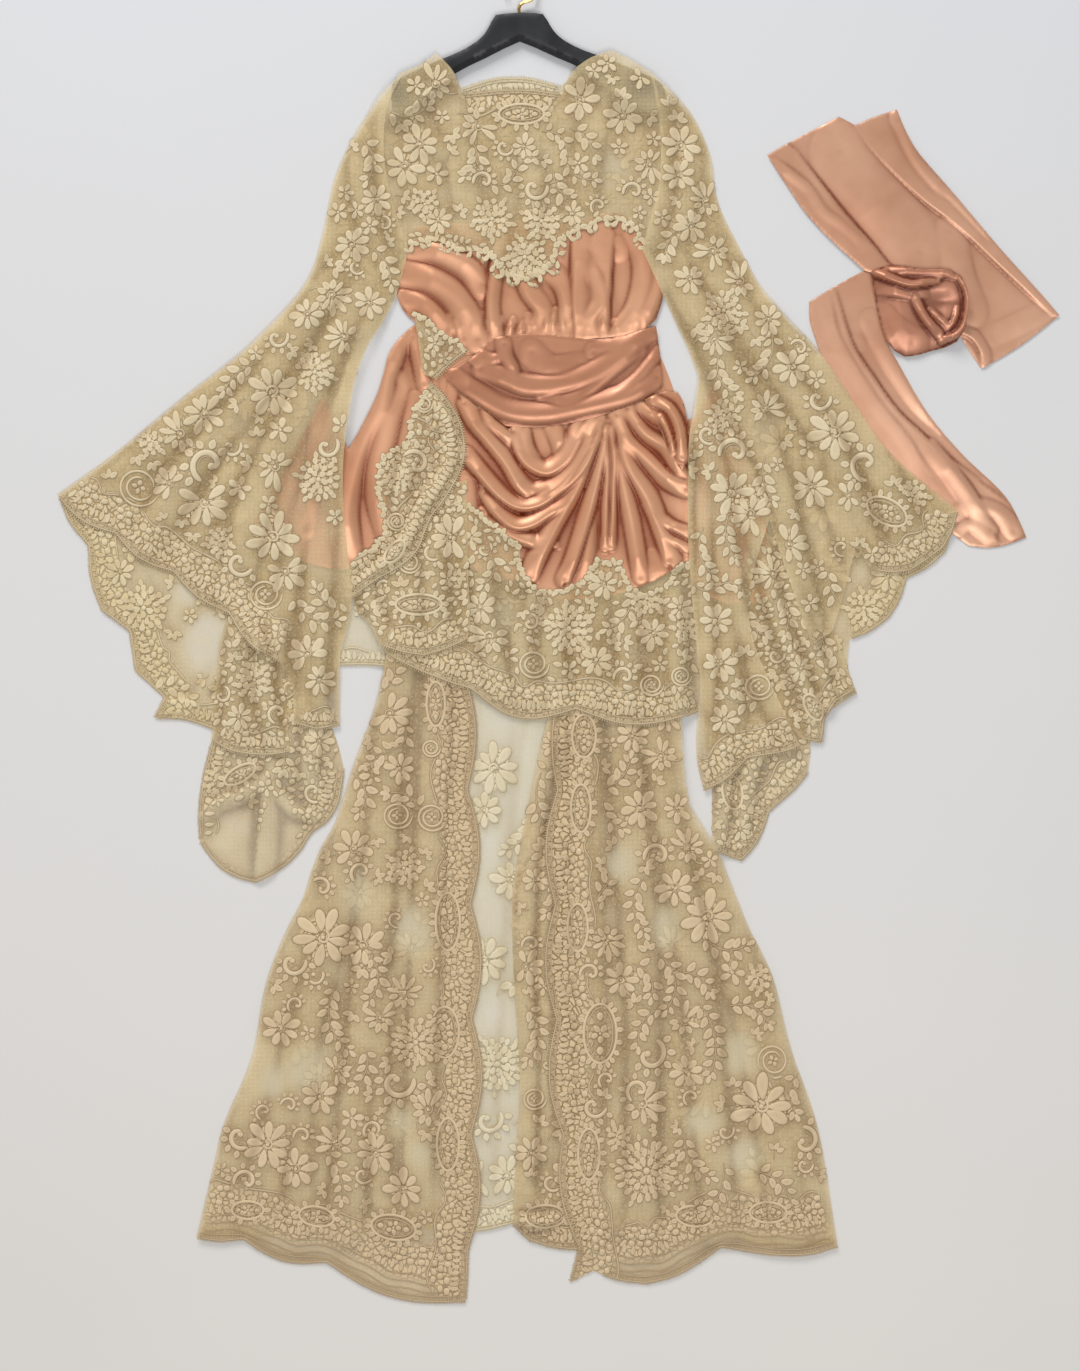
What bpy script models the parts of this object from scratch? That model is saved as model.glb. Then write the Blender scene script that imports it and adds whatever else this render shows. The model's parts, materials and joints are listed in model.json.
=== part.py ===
"""A lace and satin maxi dress laid flat on its hanger, with its loose sash beside it.

Every piece of cloth is a thin wall cut to its outline, laid on the pieces below it and
raised along its own folds. Outlines and folds are in millimetres, measured across and
down from the top left corner of the layout. The solids are in metres, +Z up, with the
top of the garment towards +Y.
"""

import math
from collections import namedtuple

import bmesh
import bpy
import numpy as np
from mathutils import Vector
from mathutils.geometry import delaunay_2d_cdt

# Driving sizes in millimetres
CLOTH = 1.4
GAP = 0.35
CENTRE_ACROSS = 698.0
CENTRE_DOWN = 794.02
LAYOUT_ACROSS = 1360.0
LAYOUT_DOWN = 1700.0
LAYOUT_ABOVE = 60.0
CELL = 4.0
LACE_STEP = 34.0
HIDDEN_STEP = 46.0
SATIN_STEP = 14.5
SCALLOP_PITCH = 137.0
SCALLOP_DEPTH = 13.0
SEAM_INSET = 3.0
SASH_HEM = 2.0
GATHER_PITCH = 18.0
GATHER_LEAN = 3.0
HANGER_THICK = 9.0
HOOK_WIRE = 4.0
HOOK_RADIUS = 20.0
HOOK_CENTRE_DOWN = -18.0
HOOK_ARC_DEGREES = 205.0
HOOK_ARC_POINTS = 20
CLEARING_PASSES = 4
SOFTENING_PASSES = 2
METRE = 0.001

LACE = (0.62, 0.50, 0.33)
SATIN = (0.72, 0.36, 0.22)
BLACK = (0.02, 0.02, 0.025)
BRASS = (0.75, 0.58, 0.28)

Edge = namedtuple("Edge", "points pitch depth")
Fold = namedtuple("Fold", "height width path")
Panel = namedtuple("Panel", "name colour step edges folds inset heap")


def smooth(*points):
    """A plain edge through hand-placed points."""
    return Edge(points, 0.0, 0.0)


def scalloped(*points, pitch=SCALLOP_PITCH, depth=SCALLOP_DEPTH):
    """An edge whose lace border bulges out in even scallops."""
    return Edge(points, pitch, depth)


def panel(name, colour, step, edges, folds=(), inset=0.0, heap=0.0):
    return Panel(name, colour, step, edges, folds, inset, heap)


def gathers(start, end, length):
    """Short even ridges that stand up from a gathered seam."""
    number = round((end[0] - start[0]) / GATHER_PITCH)
    ridges = []
    for i in range(number + 1):
        across = start[0] + (end[0] - start[0]) * i / number
        down = start[1] + (end[1] - start[1]) * i / number
        lean = GATHER_LEAN * (-1) ** i
        ridges.append(Fold(3.0, 11, ((across, down), (across + lean, down - length))))
    return ridges


# Edges that a front and a back layer share, from the shoulder down

LEFT_SLEEVE_OUTER = smooth(
    (72, 619), (146, 565), (228, 498), (310, 434), (379, 359), (403, 294),
    (417, 228), (440, 176), (475, 122), (503, 95),
)
LEFT_ARMHOLE = smooth((503, 96), (484, 140), (480, 190), (490, 250), (511, 312))
LEFT_SLEEVE_INNER = smooth(
    (511, 312), (498, 363), (481, 400), (453, 450), (440, 500), (430, 575),
    (431, 650), (440, 750), (426, 815),
)
RIGHT_ARMHOLE = smooth((802, 312), (822, 240), (826, 190), (822, 140), (812, 94))
RIGHT_SLEEVE_OUTER = smooth(
    (813, 93), (862, 140), (888, 196), (896, 250), (921, 303), (954, 364),
    (980, 393), (1024, 440), (1060, 492), (1110, 564), (1196, 638),
)
RIGHT_SLEEVE_INNER = smooth(
    (875, 854), (861, 700), (859, 605), (862, 535), (869, 500), (871, 464),
    (855, 428), (831, 375), (802, 312),
)
SKIRT_LEFT = smooth(
    (246, 1547), (265, 1467), (281, 1402), (315, 1322), (331, 1235), (355, 1169),
    (377, 1127), (396, 1070), (418, 1030), (440, 962), (465, 893), (481, 829),
    (494, 700),
)
SKIRT_RIGHT = smooth(
    (846, 700), (849, 829), (860, 998), (893, 1054), (934, 1155), (965, 1219),
    (988, 1309), (1022, 1410), (1047, 1558),
)


# Sash, which lies under the right sleeve

SASH_LOWER = panel(
    "sash_lower", SATIN, 24.0,
    [
        smooth((1013, 379), (1050, 357), (1086, 337)),
        smooth(
            (1086, 337), (1094, 380), (1105, 424), (1124, 461), (1157, 517),
            (1202, 570), (1255, 622), (1281, 671),
        ),
        smooth((1281, 671), (1245, 682), (1210, 680), (1193, 667)),
        smooth(
            (1193, 667), (1150, 640), (1080, 575), (1042, 505), (1030, 454),
            (1011, 390), (1013, 379),
        ),
    ],
    [
        Fold(3.5, 15, ((1034, 371), (1050, 430), (1085, 485), (1130, 550), (1170, 600))),
        Fold(3.5, 15, ((1046, 364), (1066, 420), (1104, 478), (1150, 535), (1205, 590))),
        Fold(5.0, 22, ((1170, 560), (1200, 600), (1225, 640), (1240, 672))),
    ],
    inset=-SASH_HEM,
)
SASH_UPPER = panel(
    "sash_upper", SATIN, 27.0,
    [
        smooth((961, 195), (1005, 171), (1049, 148)),
        smooth((1049, 148), (1069, 159)),
        smooth((1069, 159), (1095, 148), (1120, 139)),
        smooth((1120, 139), (1140, 184), (1187, 240), (1247, 311), (1322, 394)),
        smooth((1322, 394), (1275, 430), (1227, 459)),
        smooth((1227, 459), (1200, 416), (1176, 374)),
        smooth((1176, 374), (1130, 352), (1082, 337)),
        smooth((1082, 337), (1037, 296), (1006, 262), (981, 225), (961, 195)),
    ],
    [
        Fold(4.0, 18, ((995, 187), (1015, 236), (1067, 281), (1105, 326), (1150, 352))),
        Fold(3.0, 26, ((1072, 162), (1110, 205), (1165, 265), (1220, 320), (1290, 385))),
        Fold(2.5, 24, ((1040, 200), (1090, 250), (1150, 300), (1215, 370))),
        Fold(3.0, 20, ((1130, 178), (1180, 245), (1240, 318), (1300, 388))),
    ],
    inset=-SASH_HEM,
)
SASH_KNOT = panel(
    "sash_knot", SATIN, 17.0,
    [
        smooth(
            (1088, 342), (1112, 332), (1150, 338), (1195, 341), (1208, 375),
            (1204, 414), (1192, 430), (1164, 439), (1129, 446), (1107, 425),
            (1096, 385), (1088, 342),
        ),
    ],
    [
        Fold(7.0, 16, ((1100, 348), (1135, 362), (1175, 352), (1196, 370))),
        Fold(9.0, 18, ((1198, 362), (1200, 395), (1182, 418), (1160, 400))),
        Fold(6.0, 15, ((1112, 378), (1140, 385), (1160, 410), (1175, 424))),
        Fold(6.0, 18, ((1110, 400), (1120, 425), (1150, 430))),
    ],
    heap=9.0,
)

# Back layers, flat on the surface

SKIRT_BACK = panel(
    "skirt_back", LACE, HIDDEN_STEP,
    [
        smooth((494, 700), (670, 690), (846, 700)),
        SKIRT_RIGHT,
        scalloped((1047, 1552), (850, 1541), (640, 1530), (440, 1534), (246, 1541)),
        SKIRT_LEFT,
    ],
    inset=SEAM_INSET,
)
PEPLUM_BACK = panel(
    "peplum_back", LACE, HIDDEN_STEP,
    [
        smooth((500, 690), (680, 684), (862, 690)),
        smooth((862, 690), (868, 790), (870, 866)),
        scalloped((870, 866), (730, 868), (600, 856), (520, 838), pitch=115),
        smooth((520, 838), (478, 829), (456, 834), (412, 832)),
        smooth((412, 832), (410, 800), (432, 750), (500, 690)),
    ],
)
OVERSKIRT_BACK = panel(
    "overskirt_back", SATIN, HIDDEN_STEP,
    [
        smooth((545, 426), (680, 430), (815, 424)),
        smooth((815, 424), (846, 500), (858, 600), (856, 686)),
        smooth((856, 686), (680, 690), (485, 686)),
        smooth((485, 686), (500, 600), (520, 500), (545, 426)),
    ],
)
BODICE_BACK = panel(
    "bodice_back", SATIN, HIDDEN_STEP,
    [
        smooth((526, 290), (660, 284), (790, 290)),
        smooth((790, 290), (811, 332), (826, 362), (812, 404)),
        smooth((812, 404), (760, 418), (640, 420), (542, 414)),
        smooth((542, 414), (518, 390), (503, 360), (514, 320), (526, 290)),
    ],
)
YOKE_BACK = panel(
    "yoke_back", LACE, HIDDEN_STEP,
    [
        smooth((550, 76), (570, 104), (578, 111)),
        smooth((578, 111), (612, 100), (645, 97), (680, 101), (700, 108)),
        smooth((700, 108), (722, 86), (760, 70)),
        smooth((760, 70), (785, 84), (812, 98)),
        smooth((812, 98), (826, 140), (830, 190), (826, 240), (804, 306)),
        smooth((804, 306), (660, 316), (509, 306)),
        smooth((509, 306), (486, 250), (476, 190), (480, 140), (503, 98)),
        smooth((503, 98), (528, 88), (550, 76)),
    ],
)
SLEEVE_LEFT_BACK = panel(
    "sleeve_left_back", LACE, 42.0,
    [
        LEFT_SLEEVE_OUTER,
        LEFT_ARMHOLE,
        LEFT_SLEEVE_INNER,
        smooth((426, 815), (410, 880), (330, 905), (266, 916), (225, 900), (191, 899)),
        smooth((191, 899), (204, 873)),
        smooth((204, 873), (176, 854), (163, 828), (160, 790)),
        smooth((160, 790), (130, 770), (114, 742), (108, 682)),
        smooth((108, 682), (86, 656), (72, 619)),
    ],
    inset=SEAM_INSET,
)
SLEEVE_RIGHT_BACK = panel(
    "sleeve_right_back", LACE, 42.0,
    [
        RIGHT_SLEEVE_OUTER,
        smooth((1196, 638), (1194, 665), (1184, 690)),
        scalloped((1184, 690), (1135, 724), pitch=60, depth=4),
        scalloped((1135, 724), (1104, 766), (1064, 801), pitch=95, depth=12),
        smooth((1064, 801), (1062, 830), (1073, 866)),
        smooth((1073, 866), (1036, 890), (990, 912), (940, 934), (880, 940)),
        smooth((880, 940), (877, 900), (875, 854)),
        RIGHT_SLEEVE_INNER,
        RIGHT_ARMHOLE,
    ],
    inset=SEAM_INSET,
)
SLEEVE_LEFT_TAIL = panel(
    "sleeve_left_tail", LACE, 30.0,
    [
        smooth((284, 898), (350, 888), (404, 884)),
        smooth((404, 884), (421, 925), (429, 960)),
        scalloped((429, 960), (400, 1029), (320, 1103), pitch=86, depth=8),
        scalloped((320, 1103), (283, 1085), (250, 1052), pitch=76, depth=4),
        smooth((250, 1052), (250, 1000), (264, 932), (284, 898)),
    ],
    [
        Fold(5.0, 20, ((300, 930), (330, 1000), (334, 1050), (322, 1095))),
        Fold(4.0, 26, ((390, 910), (380, 960), (390, 1010))),
        Fold(4.0, 22, ((350, 952), (310, 985), (262, 1020), (257, 1045))),
    ],
)
SLEEVE_RIGHT_TAIL = panel(
    "sleeve_right_tail", LACE, 30.0,
    [
        smooth((893, 905), (950, 900), (1006, 896)),
        smooth((1006, 896), (1013, 928), (1010, 965)),
        scalloped((1010, 965), (968, 1004), (927, 1076), pitch=70, depth=6),
        smooth((927, 1076), (906, 1073), (890, 1062)),
        smooth((890, 1062), (890, 980), (893, 905)),
    ],
    [
        Fold(4.0, 20, ((905, 940), (905, 1000), (900, 1052))),
        Fold(4.0, 22, ((950, 920), (935, 985), (925, 1050))),
    ],
)
SLEEVE_LEFT_FOLD = panel(
    "sleeve_left_fold", LACE, 26.0,
    [
        smooth((295, 752), (330, 756), (356, 770)),
        smooth((356, 770), (352, 830), (358, 880), (363, 940)),
        smooth((363, 940), (328, 944), (288, 938), (265, 925)),
        smooth((265, 925), (270, 860), (276, 800), (295, 752)),
    ],
    [
        Fold(4.0, 24, ((335, 770), (330, 850), (345, 935))),
        Fold(3.0, 26, ((300, 770), (292, 850), (290, 930))),
    ],
)
SLEEVE_RIGHT_STRIP = panel(
    "sleeve_right_strip", LACE, 26.0,
    [
        smooth((950, 660), (985, 690), (1020, 730), (1042, 790)),
        smooth((1042, 790), (1068, 862)),
        smooth((1068, 862), (1034, 886), (1027, 928)),
        smooth((1027, 928), (1004, 925), (985, 905)),
        smooth((985, 905), (945, 830), (925, 760), (930, 700), (950, 660)),
    ],
    [
        Fold(5.0, 22, ((955, 690), (975, 780), (1010, 870), (1022, 915))),
        Fold(4.0, 20, ((985, 710), (1015, 790), (1048, 860))),
    ],
)

# Skirt fronts

SKIRT_FRONT_LEFT = panel(
    "skirt_front_left", LACE, LACE_STEP,
    [
        smooth((494, 700), (540, 696), (584, 700)),
        scalloped((584, 700), (582, 890), (588, 1120), (590, 1360), (586, 1560)),
        smooth((586, 1560), (582, 1627)),
        scalloped((582, 1627), (496, 1604), (408, 1577), pitch=180, depth=18),
        scalloped((408, 1577), (356, 1562), (305, 1548), pitch=110, depth=14),
        smooth((305, 1548), (275, 1551), (246, 1547)),
        SKIRT_LEFT,
    ],
    [
        Fold(5.0, 40, ((500, 840), (478, 960), (470, 1120), (455, 1300), (430, 1540))),
        Fold(4.0, 36, ((545, 860), (535, 1050), (530, 1250), (520, 1500))),
        Fold(4.0, 44, ((470, 930), (420, 1120), (370, 1320), (320, 1520))),
        Fold(3.0, 40, ((410, 1110), (350, 1260), (300, 1450))),
    ],
)
SKIRT_UNDERFOLD = panel(
    "skirt_front_underfold", LACE, LACE_STEP,
    [
        smooth((690, 880), (750, 880)),
        smooth((750, 880), (752, 1200), (752, 1556)),
        smooth((752, 1556), (717, 1562), (687, 1558), (653, 1546), (641, 1530)),
        smooth(
            (641, 1530), (644, 1460), (650, 1359), (644, 1252), (640, 1128),
            (652, 1050), (672, 950), (690, 880),
        ),
    ],
    [
        Fold(5.0, 22, ((690, 920), (660, 1080), (662, 1300), (658, 1500))),
        Fold(5.0, 18, ((650, 1524), (676, 1526), (694, 1520))),
    ],
)
SKIRT_FRONT_RIGHT = panel(
    "skirt_front_right", LACE, LACE_STEP,
    [
        smooth((700, 700), (770, 696), (846, 700)),
        SKIRT_RIGHT,
        smooth((1047, 1558), (1015, 1567), (978, 1569), (935, 1564), (901, 1558)),
        smooth(
            (901, 1558), (884, 1571), (854, 1590), (814, 1604), (774, 1600), (747, 1590),
            (730, 1589), (712, 1604),
        ),
        smooth((712, 1604), (724, 1560)),
        scalloped((724, 1560), (702, 1400), (694, 1200), (696, 1000), (704, 880), (700, 700)),
    ],
    [
        Fold(5.0, 38, ((770, 920), (790, 1100), (800, 1300), (800, 1560))),
        Fold(4.0, 40, ((800, 900), (850, 1080), (880, 1280), (905, 1540))),
        Fold(4.0, 44, ((820, 880), (890, 1100), (950, 1300), (990, 1540))),
        Fold(3.0, 34, ((735, 900), (735, 1100), (745, 1400))),
    ],
)

# Satin side panels, peplum and bodice

SATIN_SIDE_LEFT = panel(
    "satin_side_left", SATIN, 25.0,
    [
        smooth((521, 404), (540, 440), (550, 500), (530, 560)),
        smooth((530, 560), (500, 625), (484, 700)),
        smooth((484, 700), (431, 712), (375, 700), (312, 662)),
        smooth((312, 662), (340, 612), (378, 545), (404, 492)),
        smooth((404, 492), (420, 530), (436, 562)),
        smooth((436, 562), (452, 534), (474, 488), (490, 436), (521, 404)),
    ],
    [
        Fold(6.0, 22, ((515, 425), (490, 480), (462, 560), (450, 640), (452, 700))),
        Fold(5.0, 26, ((530, 450), (505, 520), (480, 580), (474, 650))),
        Fold(4.0, 30, ((404, 520), (395, 590), (380, 660))),
    ],
)
SATIN_SIDE_RIGHT = panel(
    "satin_side_right", SATIN, 30.0,
    [
        smooth((836, 505), (852, 532), (864, 530), (894, 474)),
        smooth((894, 474), (919, 538), (956, 650), (969, 745)),
        smooth((969, 745), (925, 757), (875, 738), (852, 700)),
        smooth((852, 700), (848, 600), (842, 550), (836, 505)),
    ],
    [
        Fold(4.0, 22, ((870, 500), (878, 600), (880, 720))),
        Fold(4.0, 30, ((890, 490), (910, 600), (930, 740))),
    ],
)
SATIN_DRAPE = panel(
    "satin_drape", SATIN, SATIN_STEP,
    [
        smooth((560, 462), (660, 440), (760, 436), (822, 470)),
        smooth((822, 470), (850, 520), (860, 590), (862, 700)),
        smooth((862, 700), (790, 738), (700, 750), (655, 728)),
        smooth((655, 728), (600, 718), (570, 690)),
        smooth((570, 690), (575, 640), (570, 560), (558, 500), (560, 462)),
    ],
    [
        Fold(10.0, 17, (
            (592, 512), (613, 545), (637, 570), (660, 589), (687, 597), (710, 582),
            (731, 552), (749, 524),
        )),
        Fold(11.0, 17, (
            (582, 530), (600, 570), (625, 600), (649, 616), (672, 624), (698, 614),
            (722, 588), (742, 556), (753, 526),
        )),
        Fold(10.0, 17, (
            (584, 578), (604, 610), (628, 636), (652, 650), (678, 648), (702, 632),
            (724, 606),
        )),
        Fold(7.0, 16, ((602, 634), (628, 662), (655, 680), (682, 684))),
        Fold(9.0, 17, ((758, 520), (737, 584), (708, 640), (676, 700))),
        Fold(9.0, 16, ((757, 522), (746, 596), (731, 655), (712, 714))),
        Fold(8.0, 15, ((760, 520), (760, 600), (760, 680))),
        Fold(9.0, 17, ((764, 518), (774, 582), (784, 636), (794, 704))),
        Fold(9.0, 18, ((768, 516), (792, 575), (815, 625), (838, 690))),
        Fold(9.0, 18, ((775, 512), (808, 560), (836, 590), (856, 606))),
        Fold(7.0, 16, ((786, 506), (811, 528), (834, 546), (846, 575))),
        Fold(6.0, 16, ((818, 640), (840, 656), (858, 664))),
        Fold(6.0, 16, ((575, 500), (585, 540), (590, 600))),
    ],
)
PEPLUM_FRONT = panel(
    "peplum_front", LACE, 30.0,
    [
        smooth((478, 690), (500, 650), (550, 622)),
        smooth((550, 622), (588, 632), (625, 662), (650, 680)),
        smooth((650, 680), (652, 715), (678, 742), (705, 738)),
        smooth((705, 738), (728, 728), (738, 700), (775, 702)),
        smooth((775, 702), (792, 742), (830, 735), (845, 705), (868, 700)),
        smooth((868, 700), (874, 780), (878, 888)),
        scalloped((878, 888), (786, 893), (720, 886)),
        scalloped((720, 886), (651, 885), (590, 862)),
        scalloped((590, 862), (540, 836), (484, 818), pitch=110, depth=8),
        smooth((484, 818), (466, 775), (466, 730), (478, 690)),
    ],
    [
        Fold(4.0, 28, ((700, 745), (690, 800), (700, 880))),
        Fold(4.0, 30, ((780, 750), (785, 810), (790, 880))),
        Fold(4.0, 26, ((600, 700), (610, 780), (625, 865))),
        Fold(3.0, 24, ((840, 730), (845, 800), (850, 880))),
    ],
)
BODICE_FRONT = panel(
    "bodice_front", SATIN, 17.0,
    [
        smooth((521, 284), (600, 278), (700, 278), (792, 284)),
        smooth((792, 284), (814, 330), (830, 362), (820, 400)),
        smooth((820, 400), (790, 418), (700, 426), (600, 426), (549, 419)),
        smooth((549, 419), (511, 396), (496, 364), (506, 319), (521, 284)),
    ],
    [
        Fold(5.0, 16, ((558, 300), (545, 330), (520, 352), (505, 362))),
        Fold(5.0, 15, ((575, 320), (572, 370), (562, 414))),
        Fold(5.0, 15, ((602, 318), (604, 370), (592, 420))),
        Fold(5.0, 15, ((630, 340), (628, 380), (618, 422))),
        Fold(5.0, 14, ((655, 352), (648, 390), (645, 422))),
        Fold(5.0, 14, ((682, 345), (676, 385), (672, 422))),
        Fold(5.0, 14, ((706, 312), (704, 370), (700, 422))),
        Fold(5.0, 15, ((728, 300), (734, 360), (728, 420))),
        Fold(5.0, 16, ((760, 298), (764, 350), (758, 414))),
        Fold(5.0, 18, ((788, 300), (798, 350), (800, 402))),
    ] + gathers((566, 421), (786, 417), 34.0),
)
WAIST_WRAP = panel(
    "waist_wrap", SATIN, SATIN_STEP,
    [
        smooth((554, 470), (587, 449), (619, 422)),
        smooth((619, 422), (669, 418), (752, 424), (820, 408)),
        smooth((820, 408), (828, 470), (827, 487)),
        smooth((827, 487), (796, 504), (737, 524), (678, 534), (632, 533)),
        smooth((632, 533), (610, 516), (578, 494), (554, 470)),
    ],
    [
        Fold(6.0, 18, ((592, 452), (625, 466), (655, 482), (712, 482), (770, 458), (820, 420))),
        Fold(5.0, 16, ((660, 494), (700, 504), (760, 486), (824, 446))),
        Fold(5.0, 15, ((562, 472), (602, 482), (640, 502), (690, 520), (760, 506), (822, 476))),
        Fold(5.0, 14, ((636, 426), (628, 446), (640, 462))),
        Fold(4.0, 16, ((740, 440), (790, 430), (820, 414))),
    ],
)
HIP_LOOP = panel(
    "hip_loop", SATIN, SATIN_STEP,
    [
        smooth((806, 500), (829, 490), (849, 493), (858, 523), (862, 566), (852, 588)),
        smooth((852, 588), (836, 570), (826, 540), (806, 500)),
    ],
    [Fold(8.0, 20, ((820, 504), (842, 520), (850, 575)))],
)

# Lace frill beside the waist, and the yoke

FRILL_LOWER = panel(
    "frill_lower", LACE, 26.0,
    [
        smooth((540, 610), (584, 600)),
        smooth((584, 600), (585, 700), (588, 774), (585, 799)),
        smooth((585, 799), (530, 820), (475, 806)),
        smooth((475, 806), (462, 780), (440, 752), (450, 715), (500, 660), (540, 610)),
    ],
    [
        Fold(5.0, 20, ((455, 735), (468, 770), (486, 802))),
        Fold(3.0, 30, ((540, 660), (545, 740), (545, 800))),
    ],
)
FRILL_BORDER = panel(
    "frill_border", LACE, 21.0,
    [
        smooth(
            (538, 478), (559, 499), (576, 529), (581, 572), (562, 616), (535, 654),
            (528, 680), (505, 706), (470, 726), (438, 750),
        ),
        smooth((438, 750), (434, 716), (446, 694)),
        smooth(
            (446, 694), (469, 681), (481, 662), (472, 616), (476, 572), (510, 552),
            (514, 519), (538, 478),
        ),
    ],
    [
        Fold(4.0, 18, ((545, 500), (562, 545), (556, 590), (525, 640), (500, 685), (455, 725))),
        Fold(3.0, 18, ((520, 545), (505, 600), (500, 650))),
    ],
)
FRILL_CORNER = panel(
    "frill_corner", LACE, 20.0,
    [
        smooth((517, 388), (550, 412), (585, 438)),
        smooth((585, 438), (560, 458), (545, 474)),
        smooth((545, 474), (530, 472), (525, 440), (517, 388)),
    ],
)
YOKE_FRONT = panel(
    "yoke_front", LACE, LACE_STEP,
    [
        smooth((546, 69), (558, 82), (570, 96), (578, 118)),
        smooth((578, 118), (615, 114), (650, 112), (690, 115), (702, 118)),
        smooth((702, 118), (712, 96), (722, 82), (764, 65)),
        smooth((764, 65), (790, 78), (815, 94)),
        smooth((815, 94), (827, 140), (831, 190), (827, 240), (806, 310)),
        smooth((806, 310), (788, 280), (760, 274), (732, 286), (702, 300)),
        smooth((702, 300), (690, 338), (661, 352), (628, 346)),
        smooth((628, 346), (604, 312), (580, 318), (548, 300), (507, 310)),
        smooth((507, 310), (485, 250), (475, 190), (479, 140), (500, 94)),
        smooth((500, 94), (528, 82), (546, 69)),
    ],
    [
        Fold(3.0, 34, ((560, 130), (575, 200), (590, 290))),
        Fold(3.0, 34, ((745, 130), (735, 200), (725, 270))),
    ],
)

# Sleeve fronts

SLEEVE_LEFT_FRONT = panel(
    "sleeve_left_front", LACE, LACE_STEP,
    [
        LEFT_SLEEVE_OUTER,
        LEFT_ARMHOLE,
        LEFT_SLEEVE_INNER,
        smooth((426, 815), (425, 870), (425, 906)),
        smooth((425, 906), (398, 912), (368, 904)),
        smooth((368, 904), (366, 860), (350, 826)),
        scalloped((350, 826), (268, 750), (180, 690), (72, 619), pitch=96, depth=10),
    ],
    [
        Fold(5.0, 42, ((470, 330), (400, 470), (330, 600), (290, 740))),
        Fold(5.0, 40, ((430, 340), (330, 470), (230, 600), (180, 680))),
        Fold(5.0, 36, ((480, 350), (430, 520), (400, 680), (390, 890))),
        Fold(4.0, 40, ((390, 370), (280, 480), (150, 600))),
    ],
)
SLEEVE_RIGHT_FRONT = panel(
    "sleeve_right_front", LACE, LACE_STEP,
    [
        RIGHT_SLEEVE_OUTER,
        scalloped((1196, 638), (1158, 700), (1088, 712), pitch=70, depth=7),
        smooth((1088, 712), (1069, 681)),
        smooth((1069, 681), (1055, 740), (1034, 801), (1014, 808)),
        smooth((1014, 808), (990, 740), (961, 650)),
        smooth((961, 650), (940, 720), (938, 790), (970, 870), (1000, 932)),
        scalloped((1000, 932), (940, 944), (880, 988), pitch=68, depth=6),
        smooth((880, 988), (870, 940), (875, 854)),
        RIGHT_SLEEVE_INNER,
        RIGHT_ARMHOLE,
    ],
    [
        Fold(6.0, 40, ((840, 330), (900, 450), (960, 580), (1010, 790))),
        Fold(6.0, 40, ((880, 320), (960, 440), (1040, 560), (1080, 690))),
        Fold(5.0, 40, ((930, 350), (1010, 460), (1100, 590), (1140, 690))),
        Fold(5.0, 34, ((850, 440), (885, 560), (905, 700), (915, 930))),
    ],
)

LAYERS_UNDER_HANGER = (
    SASH_LOWER, SASH_UPPER, SASH_KNOT, SKIRT_BACK, PEPLUM_BACK, OVERSKIRT_BACK,
    BODICE_BACK, YOKE_BACK, SLEEVE_LEFT_BACK, SLEEVE_RIGHT_BACK,
)
LAYERS_OVER_HANGER = (
    SKIRT_UNDERFOLD, SKIRT_FRONT_LEFT, SKIRT_FRONT_RIGHT, SATIN_SIDE_LEFT,
    SATIN_SIDE_RIGHT, BODICE_FRONT, SATIN_DRAPE, HIP_LOOP, WAIST_WRAP, PEPLUM_FRONT,
    FRILL_LOWER, FRILL_BORDER, FRILL_CORNER, YOKE_FRONT, SLEEVE_LEFT_TAIL,
    SLEEVE_RIGHT_TAIL, SLEEVE_LEFT_FOLD, SLEEVE_RIGHT_STRIP, SLEEVE_LEFT_FRONT,
    SLEEVE_RIGHT_FRONT,
)

# Half outline of the hanger, from its middle line out along the top and back below

HANGER_MIDDLE = 649.0
HANGER_TOP = 18.0
HANGER_TILT = 1.2
HANGER_STEP = 10.0
HOOK_STEM = ((649, 17.6), (649, 10), (655, 4.5), (664, 2), (668.5, -6), (669, -18))
HANGER_HALF = (
    (649, HANGER_TOP), (676, 20), (682, 25), (687, 35), (697, 48), (711, 58), (729, 67),
    (750, 75), (790, 92), (819, 106), (829, 119), (827, 135), (813, 142), (793, 133),
    (758, 107), (719, 85), (693, 73), (668, 61), (649, 53),
)


def between(points, step):
    """Points about step apart on a Catmull-Rom curve through the given points."""
    given = [Vector(point) for point in points]
    if len(given) == 2:
        count = max(1, round((given[1] - given[0]).length / step))
        return [given[0].lerp(given[1], i / count) for i in range(count + 1)]
    ends = [2 * given[0] - given[1]] + given + [2 * given[-1] - given[-2]]
    fine = []
    for before, start, end, after in zip(ends, ends[1:], ends[2:], ends[3:]):
        for i in range(12):
            t = i / 12
            fine.append(0.5 * (
                2 * start + (end - before) * t
                + (2 * before - 5 * start + 4 * end - after) * t * t
                + (3 * start - before - 3 * end + after) * t ** 3
            ))
    fine.append(given[-1])
    return even(fine, step)


def even(fine, step):
    """The same line with its points evenly spaced."""
    line = np.array([tuple(point) for point in fine])
    lengths = np.hypot(*np.diff(line, axis=0).T)
    along = np.concatenate([[0.0], np.cumsum(lengths)])
    count = max(1, round(along[-1] / step))
    wanted = np.linspace(0.0, along[-1], count + 1)
    return [
        Vector((np.interp(s, along, line[:, 0]), np.interp(s, along, line[:, 1])))
        for s in wanted
    ]


def turning(points):
    """+1 or -1 for the way round that the outline goes."""
    line = np.array([tuple(point) for point in points])
    after = np.roll(line, -1, axis=0)
    return 1.0 if np.sum(line[:, 0] * after[:, 1] - line[:, 1] * after[:, 0]) > 0 else -1.0


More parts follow.
